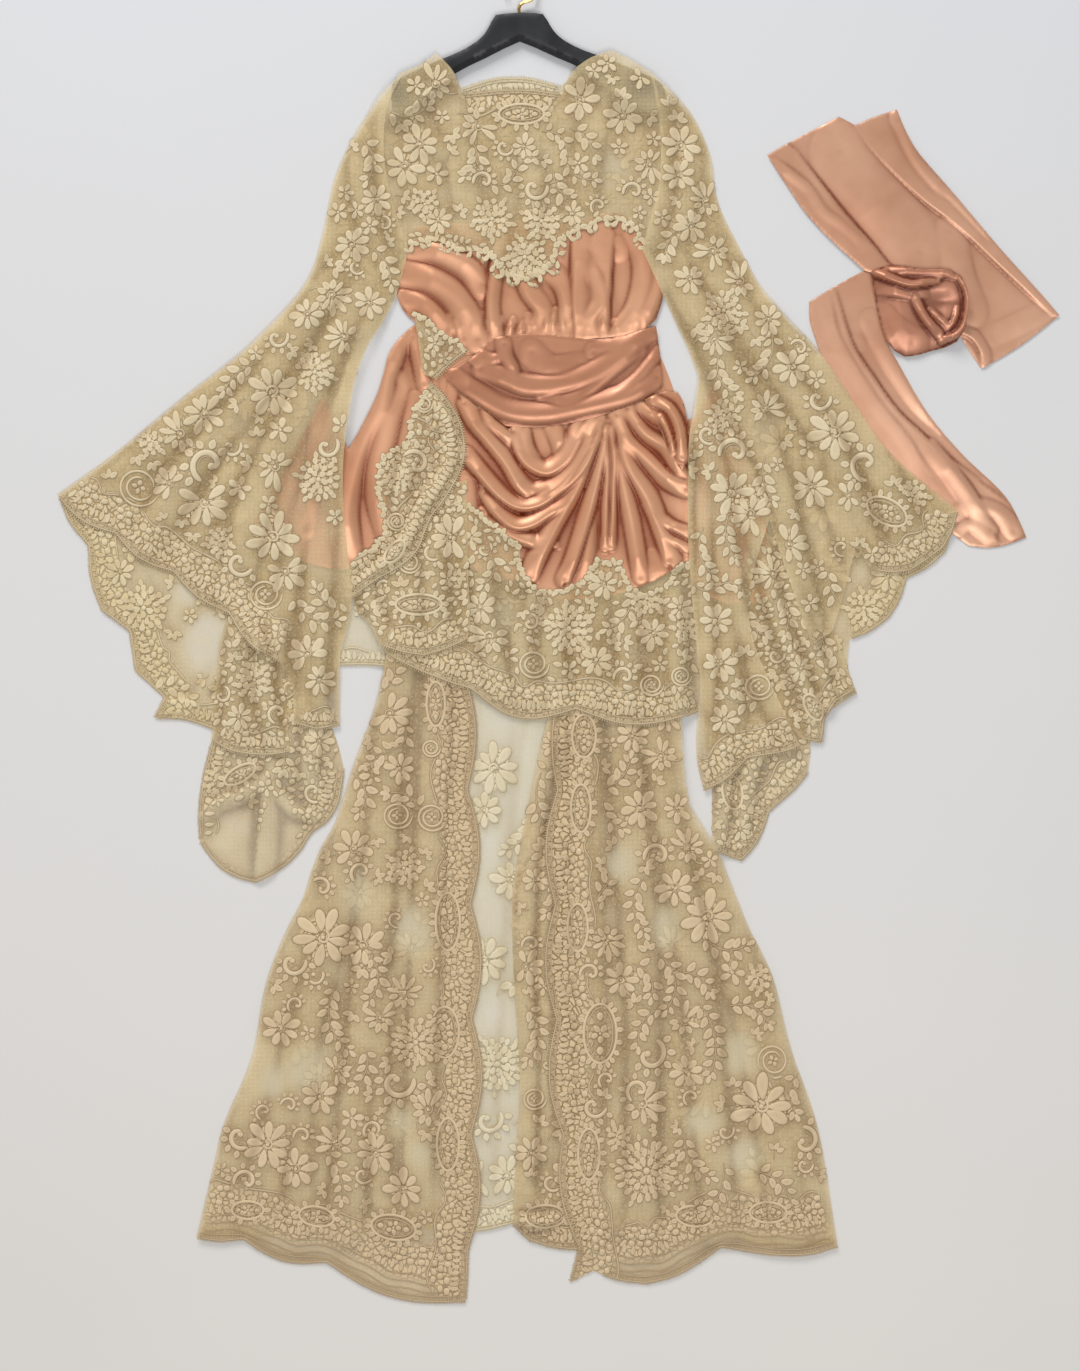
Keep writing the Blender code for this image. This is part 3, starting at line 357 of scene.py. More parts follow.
PEPLUM_FOLDS = [
    fold(4.0, 32, (700, 745), (690, 800), (700, 880)),
    fold(4.0, 34, (780, 750), (785, 810), (790, 880)),
    fold(4.0, 30, (600, 700), (610, 780), (625, 865)),
    fold(3.0, 26, (840, 730), (845, 800), (850, 880)),
    fold(2.5, 26, (655, 760), (650, 810), (655, 870)),
    fold(3.0, 16, (672, 716), (666, 746), (660, 780)),
    fold(2.6, 20, (540, 660), (540, 720), (548, 800)),
]
BODICE_FOLDS = [
    pleat(5.5, 10, 17, (514, 308), (550, 314), (586, 332), (604, 356)),
    pleat(6.0, 14, 18, (502, 338), (538, 348), (568, 368), (588, 398), (598, 424)),
    pleat(4.5, 8, 15, (504, 370), (528, 376), (546, 392), (562, 414)),
    fold(3.6, 18, (566, 398), (574, 410), (580, 424)),
    pleat(5.0, 12, 5, (622, 296), (615, 350), (612, 385), (617, 424)),
    pleat(4.5, 16, 8, (648, 334), (658, 366), (674, 390), (667, 412)),
    pleat(5.0, 18, 8, (680, 340), (700, 360), (706, 386), (698, 414)),
    pleat(5.0, 20, 4, (718, 296), (718, 366), (720, 424)),
    pleat(5.0, 8, 15, (732, 322), (750, 356), (753, 378), (740, 400), (744, 424)),
    pleat(4.5, 4, 27, (764, 292), (759, 375), (757, 424)),
    pleat(5.0, 18, 12, (790, 290), (803, 336), (794, 385), (770, 420)),
    fold(4.5, 20, (816, 306), (824, 344), (814, 380), (798, 412)),
    fold(3.0, 30, (730, 290), (744, 306), (770, 312)),
] + gathers(3, (560, 421), (812, 414), 22, 30.0, 12.0)
WAIST_WRAP_FOLDS = [
    pleat(4.5, 14, 8, (600, 462), (634, 478), (660, 487), (700, 484), (740, 471), (782, 442),
          (817, 416)),
    pleat(3.8, 10, 7, (676, 494), (706, 502), (738, 487), (768, 463), (800, 436)),
    pleat(4.5, 12, 9, (562, 472), (592, 492), (632, 514), (680, 519), (738, 507), (790, 494),
          (822, 472)),
    pleat(4.5, 6, 10, (632, 430), (634, 446), (642, 462), (643, 478)),
    fold(3.2, 12, (604, 446), (618, 450), (632, 444)),
    fold(3.0, 18, (742, 440), (790, 428), (820, 414)),
    fold(3.0, 12, (760, 500), (796, 474), (824, 440)),
    fold(2.4, 24, (664, 440), (690, 460), (726, 456)),
    fold(2.6, 10, (612, 458), (660, 474), (716, 476)),
]
HIP_LOOP_FOLDS = [
    pleat(8.0, 9, 8, (818, 502), (836, 512), (848, 536), (852, 572)),
    fold(4.0, 9, (826, 522), (836, 544), (842, 566)),
]
FRILL_LOWER_FOLDS = [
    fold(5.0, 24, (455, 735), (468, 770), (486, 802)),
    fold(3.0, 32, (540, 660), (545, 740), (545, 800)),
]
FRILL_BORDER_FOLDS = [
    fold(4.0, 22, (545, 500), (562, 545), (556, 590), (525, 640), (500, 685), (455, 725)),
    fold(3.0, 22, (520, 545), (505, 600), (500, 650)),
]
FRILL_CORNER_FOLDS = [fold(2.0, 24, (528, 404), (540, 432), (546, 466))]
YOKE_FRONT_FOLDS = [
    fold(3.0, 38, (560, 130), (575, 200), (590, 290)),
    fold(3.0, 38, (745, 130), (735, 200), (725, 270)),
    fold(2.4, 30, (660, 170), (664, 240), (660, 300)),
    fold(2.0, 34, (520, 150), (540, 180), (590, 196)),
]
SLEEVE_LEFT_TAIL_FOLDS = [
    pleat(4.5, 24, 3, (332, 962), (329, 1000), (325, 1050), (321, 1097)),
    pleat(4.0, 5, 16, (256, 1014), (276, 1000), (304, 990), (330, 972), (352, 950)),
    pleat(4.0, 14, 5, (334, 976), (350, 1000), (368, 1018), (392, 1024)),
    fold(4.0, 28, (390, 910), (386, 960), (396, 1000)),
    fold(3.0, 24, (366, 900), (360, 930), (364, 966)),
]
SLEEVE_RIGHT_TAIL_FOLDS = [
    fold(4.0, 22, (905, 940), (905, 1000), (900, 1052)),
    fold(4.0, 24, (950, 920), (935, 985), (925, 1050)),
]
SLEEVE_LEFT_FOLD_FOLDS = [
    fold(4.0, 26, (335, 770), (330, 850), (345, 935)),
    fold(3.0, 28, (300, 770), (292, 850), (290, 930)),
]
SLEEVE_RIGHT_STRIP_FOLDS = [
    fold(5.0, 24, (955, 690), (975, 780), (1010, 870), (1022, 915)),
    pleat(5.0, 4, 20, (985, 710), (1008, 780), (1030, 838), (1040, 876)),
]
SLEEVE_LEFT_FRONT_FOLDS = [
    fold(5.0, 46, (470, 330), (400, 470), (330, 600), (290, 740)),
    fold(5.0, 44, (430, 340), (330, 470), (230, 600), (180, 680)),
    fold(5.0, 40, (480, 350), (430, 520), (400, 680), (390, 890)),
    fold(4.0, 44, (390, 370), (280, 480), (150, 600)),
    fold(3.0, 30, (450, 170), (452, 240), (470, 320)),
    fold(3.0, 30, (420, 540), (380, 640), (352, 790)),
    fold(3.4, 22, (384, 800), (392, 850), (396, 900)),
    fold(2.6, 30, (300, 560), (262, 640), (232, 700)),
    pleat(7.0, 5, 16, (350, 770), (354, 818), (352, 854), (362, 905)),
    pleat(6.0, 5, 14, (322, 790), (328, 820), (340, 856), (352, 892)),
    pleat(6.0, 12, 5, (404, 770), (398, 820), (396, 860), (404, 905)),
]
SLEEVE_RIGHT_FRONT_FOLDS = [
    fold(6.0, 44, (840, 330), (900, 450), (960, 580), (1008, 780)),
    fold(6.0, 44, (880, 320), (960, 440), (1040, 560), (1080, 690)),
    fold(5.0, 44, (930, 350), (1010, 460), (1100, 590), (1140, 690)),
    fold(5.0, 38, (850, 440), (885, 560), (905, 700), (915, 930)),
    fold(3.0, 30, (862, 170), (860, 240), (846, 310)),
    pleat(6.5, 4, 28, (918, 690), (932, 771), (955, 832), (984, 888), (1000, 926)),
    pleat(6.0, 4, 26, (944, 640), (966, 690), (990, 750), (1012, 800), (1026, 850)),
    pleat(5.5, 5, 26, (1030, 580), (1052, 629), (1068, 671), (1087, 712)),
    pleat(5.0, 4, 24, (926, 560), (946, 606), (962, 650), (968, 688)),
    fold(3.4, 24, (880, 600), (882, 740), (890, 880)),
    fold(3.0, 22, (1060, 600), (1074, 660), (1084, 702)),
]

# The pieces in the order in which they lie. A row has the piece's finish, its mesh step and
# folds, the width, length and area of its cut in metres, how that is held, what it rests on,
# how it waves and how full its work is

UNDER_HANGER = (
    Cloth("sash_lower", "sash", 2.4, SASH_LOWER_FOLDS, (0.12, 0.37), 0.036, "folded"),
    Cloth("sash_upper", "sash", 2.4, SASH_UPPER_FOLDS, (0.165, 0.38), 0.049, "folded"),
    Cloth("sash_knot", "knot", 1.8, SASH_KNOT_FOLDS, (0.11, 0.15), 0.0125, "folded",
          ["sash_lower", "sash_upper"]),
    Cloth("skirt_back", "back", 8.0, SKIRT_BACK_FOLDS, (0.80, 0.85), 0.46, "laid", [], 0.8, 0.3),
    Cloth("peplum_back", "back", 8.0, [], (0.46, 0.19), 0.075, "laid", [], 0.5, 0.5),
    Cloth("overskirt_back", "satin", 10.0, [], (0.37, 0.27), 0.088, "laid", ["peplum_back"]),
    Cloth("bodice_back", "satin", 10.0, [], (0.31, 0.135), 0.0385, "laid"),
    Cloth("yoke_back", "back", 7.0, [], (0.36, 0.25), 0.0735, "laid", [], 0.4, 0.7),
    Cloth("sleeve_left_back", "sleeve_back", 8.0, SLEEVE_LEFT_BACK_FOLDS, (0.47, 0.83), 0.15, "laid",
          ["yoke_back"], 1.0, 0.5),
    Cloth("sleeve_right_back", "sleeve_back", 8.0, SLEEVE_RIGHT_BACK_FOLDS, (0.42, 0.86), 0.14, "laid",
          ["yoke_back", "sash_lower"], 1.0, 0.5),
)
OVER_HANGER = (
    Cloth("skirt_front_underfold", "skirt", 6.0, SKIRT_UNDERFOLD_FOLDS, (0.115, 0.69), 0.069, "folded",
          ["skirt_back"], 0.6, 0.75),
    Cloth("skirt_front_left", "skirt", 6.5, SKIRT_LEFT_FOLDS, (0.35, 0.94), 0.20, "laid",
          ["skirt_back"], 1.0, 0.75),
    Cloth("skirt_front_right", "skirt", 6.5, SKIRT_RIGHT_FOLDS, (0.36, 0.92), 0.214, "laid",
          ["skirt_back", "skirt_front_underfold"], 1.0, 0.75),
    Cloth("satin_side_left", "satin", 3.0, SATIN_SIDE_LEFT_FOLDS, (0.25, 0.31), 0.037, "laid",
          ["overskirt_back", "sleeve_left_back"], spread=1.2),
    Cloth("satin_side_right", "satin", 4.0, SATIN_SIDE_RIGHT_FOLDS, (0.14, 0.26), 0.0238, "laid",
          ["overskirt_back", "sleeve_right_back"], spread=1.2),
    Cloth("bodice_front", "satin", 2.5, BODICE_FOLDS, (0.34, 0.15), 0.0455, "gathered",
          ["bodice_back"], spread=1.15),
    Cloth("satin_drape", "satin", 2.3, SATIN_DRAPE_FOLDS, (0.31, 0.32), 0.089, "gathered",
          ["overskirt_back"], spread=1.2),
    Cloth("hip_loop", "satin", 2.0, HIP_LOOP_FOLDS, (0.055, 0.10), 0.0036, "folded", ["satin_drape"]),
    Cloth("waist_wrap", "wrap", 2.3, WAIST_WRAP_FOLDS, (0.28, 0.13), 0.0254, "draped",
          ["bodice_front", "satin_drape"], spread=1.4),
    Cloth("peplum_front", "lace", 5.0, PEPLUM_FOLDS, (0.42, 0.28), 0.0777, "laid",
          ["satin_drape", "skirt_front_left", "skirt_front_right"], 0.7, 0.85),
    Cloth("frill_lower", "lace", 4.5, FRILL_LOWER_FOLDS, (0.15, 0.21), 0.0227, "laid",
          ["peplum_front", "satin_side_left"], 0.5, 1.0),
    Cloth("frill_border", "lace", 4.0, FRILL_BORDER_FOLDS, (0.15, 0.28), 0.0176, "laid",
          ["satin_side_left", "frill_lower"], 0.5, 1.0),
    Cloth("frill_corner", "lace", 4.0, FRILL_CORNER_FOLDS, (0.07, 0.09), 0.0028, "laid",
          ["bodice_front"], 0.3, 1.0),
    Cloth("yoke_front", "lace", 5.5, YOKE_FRONT_FOLDS, (0.36, 0.29), 0.074, "laid",
          ["hanger_body", "yoke_back", "bodice_front"], 0.5, 0.75),
    Cloth("sleeve_left_tail", "lace", 4.5, SLEEVE_LEFT_TAIL_FOLDS, (0.19, 0.22), 0.0305, "folded",
          ["sleeve_left_back"], 0.5, 0.9),
    Cloth("sleeve_right_tail", "lace", 4.5, SLEEVE_RIGHT_TAIL_FOLDS, (0.125, 0.18), 0.0162, "folded",
          ["sleeve_right_back"], 0.5, 0.9),
    Cloth("sleeve_left_fold", "lace", 4.5, SLEEVE_LEFT_FOLD_FOLDS, (0.10, 0.19), 0.0155, "folded",
          ["sleeve_left_back"], 0.4, 0.9),
    Cloth("sleeve_right_strip", "lace", 4.5, SLEEVE_RIGHT_STRIP_FOLDS, (0.14, 0.27), 0.0225, "folded",
          ["sleeve_right_back"], 0.4, 0.9),
    Cloth("sleeve_left_front", "lace", 5.5, SLEEVE_LEFT_FRONT_FOLDS, (0.44, 0.82), 0.126, "laid",
          ["hanger_body", "sleeve_left_back"], 1.0, 0.7),
    Cloth("sleeve_right_front", "lace", 5.5, SLEEVE_RIGHT_FRONT_FOLDS, (0.42, 0.90), 0.13, "laid",
          ["hanger_body", "sleeve_right_back"], 1.0, 0.7),
)
SATIN_FINISHES = {"satin", "wrap", "sash", "knot"}
KNOT_HEAP = 8.0
KNOT_SHOULDER = 26.0
KNOT_HOLLOW = (1177.0, 378.0, 22.0, 13.0, 6.5)
TUCKS = {
    "bodice_front": ((590.0, 421.0, 46.0, 20.0), (765.0, 286.0, 56.0, -16.0)),
}


# Outlines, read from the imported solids

def node_outline(name):
    """The closed outline of a laid solid: the edge of its upward faces."""
    mesh = frame["nodes"][name].data
    mesh.calc_loop_triangles()
    places = np.empty(len(mesh.vertices) * 3)
    mesh.vertices.foreach_get("co", places)
    places = np.round(places.reshape(-1, 3) * 1e5).astype(np.int64)
    _, first, merged = np.unique(places, axis=0, return_index=True, return_inverse=True)
    merged = merged.ravel()
    corners = np.empty(len(mesh.loop_triangles) * 3, np.int32)
    mesh.loop_triangles.foreach_get("vertices", corners)
    corners = merged[corners.reshape(-1, 3)]
    spots = places[first] / 100.0
    a, b, c = (spots[corners[:, i]] for i in range(3))
    facing = np.cross(b - a, c - a)
    upward = facing[:, 2] > 0.02 * np.linalg.norm(facing, axis=1)
    following = {}
    edges = {tuple(edge) for tri in corners[upward] for edge in zip(tri, np.roll(tri, -1))}
    for start, end in edges:
        if (end, start) not in edges:
            following[start] = end
    loops = []
    while following:
        at = next(iter(following))
        loop = []
        while at in following:
            loop.append(at)
            at = following.pop(at)
        loops.append(loop)
    longest = max(loops, key=len)
    around = spots[longest]
    return np.column_stack([around[:, 0] + CENTRE_ACROSS, CENTRE_DOWN - around[:, 1]])


def through(points):
    """A close Catmull-Rom line through the points."""
    points = np.asarray(points, float)
    if len(points) == 2:
        return points
    ends = np.vstack([2 * points[0] - points[1], points, 2 * points[-1] - points[-2]])
    t = (np.arange(LINE_STEPS) / LINE_STEPS)[None, :, None]
    before, start, end, after = (ends[i:len(ends) - 3 + i, None, :] for i in range(4))
    line = 0.5 * (
        2 * start + (end - before) * t
        + (2 * before - 5 * start + 4 * end - after) * t ** 2
        + (3 * start - before - 3 * end + after) * t ** 3
    )
    return np.vstack([line.reshape(-1, 2), points[-1:]])


def lengths_along(line):
    return np.concatenate([[0.0], np.cumsum(np.hypot(*np.diff(line, axis=0).T))])


def evenly(line, step):
    """The same open line with evenly spaced points about step apart."""
    along = lengths_along(line)
    count = max(1, round(along[-1] / step))
    wanted = np.linspace(0.0, along[-1], count + 1)
    return np.column_stack([np.interp(wanted, along, line[:, i]) for i in range(2)])


def square_to(line):
    """The way square to a line at each of its points, one millimetre long."""
    run = np.gradient(line, axis=0)
    run /= np.maximum(np.hypot(run[:, 0], run[:, 1]), 1e-9)[:, None]
    return np.column_stack([-run[:, 1], run[:, 0]])


def eased(outline, step=OUTLINE_STEP):
    """The outline as a smooth line that keeps its sharp corners."""
    run = np.roll(outline, -1, axis=0) - outline
    heading = np.degrees(np.arctan2(run[:, 1], run[:, 0]))
    turn = np.abs((heading - np.roll(heading, 1) + 180.0) % 360.0 - 180.0)
    corners = np.flatnonzero(turn > SHARP_CORNER)
    if len(corners) == 0:
        corners = np.array([0])
    parts = []
    for start, end in zip(corners, np.roll(corners, -1)):
        if end <= start:
            end += len(outline)
        span = outline[np.arange(start, end + 1) % len(outline)]
        parts.append(evenly(through(span), step)[:-1])
    return np.vstack(parts)


# Fields over the layout, one value for each cell

def cell_centres(rows, columns):
    across = GRID_ACROSS + (np.arange(columns.start, columns.stop) + 0.5) * CELL
    down = GRID_DOWN + (np.arange(rows.start, rows.stop) + 0.5) * CELL
    return np.meshgrid(across, down)


def cells_round(points, margin):
    """The rows and columns of the cells round some points."""
    low = points.min(axis=0) - margin
    high = points.max(axis=0) + margin
    first_row = max(0, int((low[1] - GRID_DOWN) / CELL))
    last_row = min(GRID_ROWS, int((high[1] - GRID_DOWN) / CELL) + 1)
    first_column = max(0, int((low[0] - GRID_ACROSS) / CELL))
    last_column = min(GRID_COLUMNS, int((high[0] - GRID_ACROSS) / CELL) + 1)
    return slice(first_row, last_row), slice(first_column, last_column)


def filled(outline, rows, columns):
    """True for each cell whose centre is inside the outline."""
    across, down = cell_centres(rows, columns)
    inside = np.zeros(across.shape, bool)
    start, end = outline, np.roll(outline, -1, axis=0)
    for i in range(across.shape[0]):
        level = down[i, 0]
        crosses = (start[:, 1] > level) != (end[:, 1] > level)
        share = (level - start[crosses, 1]) / (end[crosses, 1] - start[crosses, 1])
        hits = start[crosses, 0] + share * (end[crosses, 0] - start[crosses, 0])
        inside[i] = (hits[None, :] > across[i][:, None]).sum(axis=1) % 2 == 1
    return inside


def softened(field, reach):
    """Mean over a square of cells."""
    field = np.asarray(field, float)
    width = 2 * reach + 1
    for _ in ("down", "across"):
        total = np.cumsum(np.pad(field, ((reach + 1, reach), (0, 0)), mode="edge"), axis=0)
        field = ((total[width:] - total[:-width]) / width).T
    return field


def widened(field):
    """The highest of each cell and its neighbours."""
    grown = np.pad(field, 1, mode="edge")
    rows, columns = field.shape
    return np.max([
        grown[i:i + rows, j:j + columns] for i in range(3) for j in range(3)
    ], axis=0)


def sampled(field, rows, columns, points):
    """The field at each point, between the nearest cell centres."""
    across = (points[:, 0] - GRID_ACROSS) / CELL - 0.5 - columns.start
    down = (points[:, 1] - GRID_DOWN) / CELL - 0.5 - rows.start
    across = np.clip(across, 0, field.shape[1] - 1.001)
    down = np.clip(down, 0, field.shape[0] - 1.001)
    column, row = across.astype(int), down.astype(int)
    x, y = across - column, down - row
    return (
        field[row, column] * (1 - x) * (1 - y) + field[row, column + 1] * x * (1 - y)
        + field[row + 1, column] * (1 - x) * y + field[row + 1, column + 1] * x * y
    )


def away_from(line, across, down):
    """Distance from a line at each place, and its side: positive on the left as seen walking."""
    start, run = line[:-1], np.diff(line, axis=0)
    squared = np.maximum((run * run).sum(axis=1), 1e-9)
    nearest = np.full(across.shape, 1e9)
    side = np.ones(across.shape)
    for (x, y), (u, v), length in zip(start, run, squared):
        share = np.clip(((across - x) * u + (down - y) * v) / length, 0.0, 1.0)
        off_x = across - x - share * u
        off_y = down - y - share * v
        away = off_x ** 2 + off_y ** 2
        closer = away < nearest
        nearest = np.where(closer, away, nearest)
        side = np.where(closer, off_x * v - off_y * u, side)
    return np.sqrt(nearest), np.where(side >= 0, 1.0, -1.0)


def fold_heights(folds, spread, across, down):
    """How far the folds raise each place. Rolls that meet leave a crease between them."""
    total = np.zeros(across.shape)
    for one in folds:
        line = evenly(through(one.path), 6.0)
        left, right = one.left * spread, one.right * spread
        reach = max(left, right)
        near = (
            (across > line[:, 0].min() - reach) & (across < line[:, 0].max() + reach)
            & (down > line[:, 1].min() - reach) & (down < line[:, 1].max() + reach)
        )
        x, y = across[near], down[near]
        if x.size == 0:
            continue
        away, side = away_from(line, x, y)
        reach = np.where(side > 0, left, right)
        ends = np.minimum(np.hypot(x - line[0, 0], y - line[0, 1]),
                          np.hypot(x - line[-1, 0], y - line[-1, 1]))
        fade = np.clip(0.3 + ends / (1.8 * (one.left + one.right)), 0.0, 1.0)
        ridge = 1.0 - np.clip(away / reach, 0.0, 1.0) ** 2
        total[near] += (one.height * ridge * fade) ** 3
    return total ** (1 / 3)


def ripple(rows, columns, size, seed):
    """Slow uneven waves in a cloth that lies loose."""
    across, down = cell_centres(rows, columns)
    draw = random.Random(seed)
    total = np.zeros(across.shape)
    for length in (190.0, 120.0, 74.0, 47.0):
        heading = draw.uniform(-0.6, 0.6)
        phase = draw.uniform(0.0, math.tau)
        along = across * math.cos(heading) + down * math.sin(heading)
        sway = np.sin(down / draw.uniform(70.0, 150.0) + phase)
        total += np.sin(along * math.tau / length + phase + 1.4 * sway) * length / 190.0
    return size * (0.5 + 0.5 * np.tanh(total))


def tucked(name, outline):
    """The outline with its lower edge drawn a little further under the piece above it."""
    if name not in TUCKS:
        return outline
    moved = outline.copy()
    for across, down, reach, drop in TUCKS[name]:
        away = np.abs(outline[:, 0] - across)
        near = (away < reach) & (np.abs(outline[:, 1] - down) < 11.0)
        moved[near, 1] += drop * np.cos(math.pi / 2 * away[near] / reach) ** 2
    return moved


class Laid:
    """One piece of cloth where it lies: its outline and its height over its own cells."""

    def __init__(self, cloth, level):
        self.cloth = cloth
        self.satin = cloth.finish in SATIN_FINISHES
        self.outline = eased(tucked(cloth.node, node_outline(cloth.node)))
        self.rows, self.columns = cells_round(self.outline, 8 * CELL)
        self.inside = filled(self.outline, self.rows, self.columns)
        lowest = widened(level[self.rows, self.columns])
        height = lowest
        for _ in range(REST_PASSES):
            height = np.maximum(lowest, self.mean(height, REST_REACH))
        if self.satin:
            height = self.mean(height, SATIN_EASE)
        if cloth.wave:
            height = height + ripple(self.rows, self.columns, cloth.wave, len(cloth.node))
        across, down = cell_centres(self.rows, self.columns)
        if cloth.node == "sash_knot":
            closed = np.vstack([self.outline, self.outline[:1]])
            away, _ = away_from(closed, across, down)
            crown = np.sqrt(np.clip(away / KNOT_SHOULDER, 0.0, 1.0))
            base = softened(lowest, CREASE_REACH)
            height = base + (height - base + KNOT_HEAP) * crown
            x, y, wide, tall, deep = KNOT_HOLLOW
            height -= deep * np.exp(-(((across - x) / wide) ** 2 + ((down - y) / tall) ** 2))
        self.base = self.settled(height)
        raised = fold_heights(cloth.folds, cloth.spread, across, down)
        if not self.satin:
            raised *= LACE_RISE
        self.height = self.settled(height + raised)
        # Painted fold light: positive where a cell lies below the cells round it (painted shade), negative where it
        # lies above them (painted highlight)
        self.fold_light = np.clip(self.hollow(BROAD_REACH) / FOLD_LIGHT_DEEP, -1.0, 1.0) * self.inside
        under = level[self.rows, self.columns]
        under[self.inside] = self.height[self.inside] + LAYER

    def mean(self, height, reach):
        """The mean height of the inside cells within reach of each cell."""
        weight = np.maximum(softened(self.inside, reach), 1e-6)
        return softened(height * self.inside, reach) / weight

    def hollow(self, reach):
        """How far each cell lies below the cells round it."""
        return softened(self.height, reach) - self.height

    def settled(self, height):
        """The height inside, carried a little way out past the outline."""
        mean = self.mean(height, 1)
        outer = np.where(softened(self.inside, 1) > 0.05, mean, self.mean(height, EDGE_REACH))
        return np.where(self.inside, 0.5 * height + 0.5 * mean, outer)

    def read(self, field, points):
        return sampled(field, self.rows, self.columns, points)

    def at(self, points):
        """The height at each place. Satin keeps its folds as sharp as they are."""
        if not self.satin:
            return self.read(self.height, points)
        raised = fold_heights(self.cloth.folds, self.cloth.spread, points[:, 0], points[:, 1])
        return self.read(self.base, points) + raised


# Meshes

def metres(points, height):
    return np.column_stack([
        (points[:, 0] - CENTRE_ACROSS) * METRE,
        (CENTRE_DOWN - points[:, 1]) * METRE,
        height * METRE,
    ])


def mesh_object(name, places, faces, attributes=None):
    """An object from arrays of places and triangles, with its point attributes."""
    mesh = bpy.data.meshes.new(name)
    mesh.vertices.add(len(places))
    mesh.vertices.foreach_set("co", np.asarray(places, np.float32).ravel())
    faces = np.asarray(faces, np.int32)
    mesh.loops.add(faces.size)
    mesh.loops.foreach_set("vertex_index", faces.ravel())
    mesh.polygons.add(len(faces))
    mesh.polygons.foreach_set("loop_start", np.arange(0, faces.size, 3, dtype=np.int32))
    mesh.polygons.foreach_set("use_smooth", np.ones(len(faces), bool))
    mesh.update(calc_edges=True)
    for label, values in (attributes or {}).items():
        made = mesh.attributes.new(label, "FLOAT", "POINT")
        made.data.foreach_set("value", np.asarray(values, np.float32))
    made = bpy.data.objects.new(name, mesh)
    bpy.context.scene.collection.objects.link(made)
    return made


def triangles_within(outline, points, lines):
    """Triangles of the points that lie within the outline, turned to face up."""
    laid, _, faces, _, _, _ = delaunay_2d_cdt(points, lines, [], 0, 1e-6, True)
    laid = np.array([tuple(point) for point in laid])
    faces = np.array(faces)
    faces = faces[contains(outline, laid[faces].mean(axis=1))]
    a, b, c = (laid[faces[:, i]] for i in range(3))
    ahead, aside = b - a, c - a
    turned = ahead[:, 0] * aside[:, 1] - ahead[:, 1] * aside[:, 0]
    faces[turned > 0] = faces[turned > 0][:, ::-1]
    return laid, faces[np.abs(turned) > SLIVER]


def rim_to_rim(faces, rim):
    """Edges inside the cloth that run from one rim point to another."""
    edges = np.sort(np.vstack([faces[:, [0, 1]], faces[:, [1, 2]], faces[:, [2, 0]]]), axis=1)
    edges, uses = np.unique(edges, axis=0, return_counts=True)
    return edges[(uses == 2) & (edges < rim).all(axis=1)]


WELL_INSIDE = 0.62
BATCH = 4000


def flat_triangles(outline, step, inner=()):
    """Points and triangles that fill an outline, with no edge that cuts from rim to rim."""
    low, high = outline.min(axis=0), outline.max(axis=0)
    row_height = step * math.sqrt(3) / 2
    across = np.arange(low[0], high[0], step)
    grid = np.array([
        (x + (step / 2 if row % 2 else 0.0), low[1] + row * row_height)
        for row in range(int((high[1] - low[1]) / row_height) + 1) for x in across
    ])
    rows, columns = cells_round(outline, 4 * CELL)
    inside = softened(filled(outline, rows, columns), 1)
    grid = grid[sampled(inside, rows, columns, grid) > WELL_INSIDE]
    rim_points = np.vstack([outline] + [np.asarray(line) for line in inner])
    clear = np.ones(len(grid), bool)
    for start in range(0, len(grid), BATCH):
        some = grid[start:start + BATCH]
        gaps = ((some[:, None, :] - rim_points[None]) ** 2).sum(axis=2).min(axis=1)
        clear[start:start + BATCH] = gaps > (0.6 * step) ** 2
    grid = grid[clear]
    points = [Vector(point) for point in np.vstack([rim_points, grid])]
    count = len(outline)
    rim = [(i, (i + 1) % count) for i in range(count)]
    for line in inner:
        rim += [(count + i, count + i + 1) for i in range(len(line) - 1)]
        count += len(line)
    laid, faces = triangles_within(outline, points, rim)
    for _ in range(CHORD_ROUNDS):
        chords = rim_to_rim(faces, len(outline))
        if len(chords):
            points += [Vector(spot) for spot in laid[chords].mean(axis=1)]
            laid, faces = triangles_within(outline, points, rim)
    return laid, faces, len(outline)


def contains(outline, points):
    """True for each point inside the outline, a few thousand points at a time."""
    start, end = outline, np.roll(outline, -1, axis=0)
    rise = np.where(end[:, 1] == start[:, 1], 1.0, end[:, 1] - start[:, 1])
    slope = (end[:, 0] - start[:, 0]) / rise
    found = []
    for first in range(0, len(points), BATCH):
        across, down = points[first:first + BATCH, :1], points[first:first + BATCH, 1:]
        crosses = (start[:, 1] > down) != (end[:, 1] > down)
        hits = crosses & (across < start[:, 0] + (down - start[:, 1]) * slope)
        found.append(hits.sum(axis=1) % 2 == 1)
    return np.concatenate(found)


def net_sheet(laid):
    """The open net of a lace piece."""
    points, faces, _ = flat_triangles(laid.outline, laid.cloth.step)
    fields = {"dense": laid.dense, "open": laid.open, "packed": laid.packed, "fold_light": laid.fold_light}
    return mesh_object(
        laid.cloth.node + "_net", metres(points, laid.at(points) + NET_ABOVE), faces,
        {label: laid.read(field, points) for label, field in fields.items()},
    )


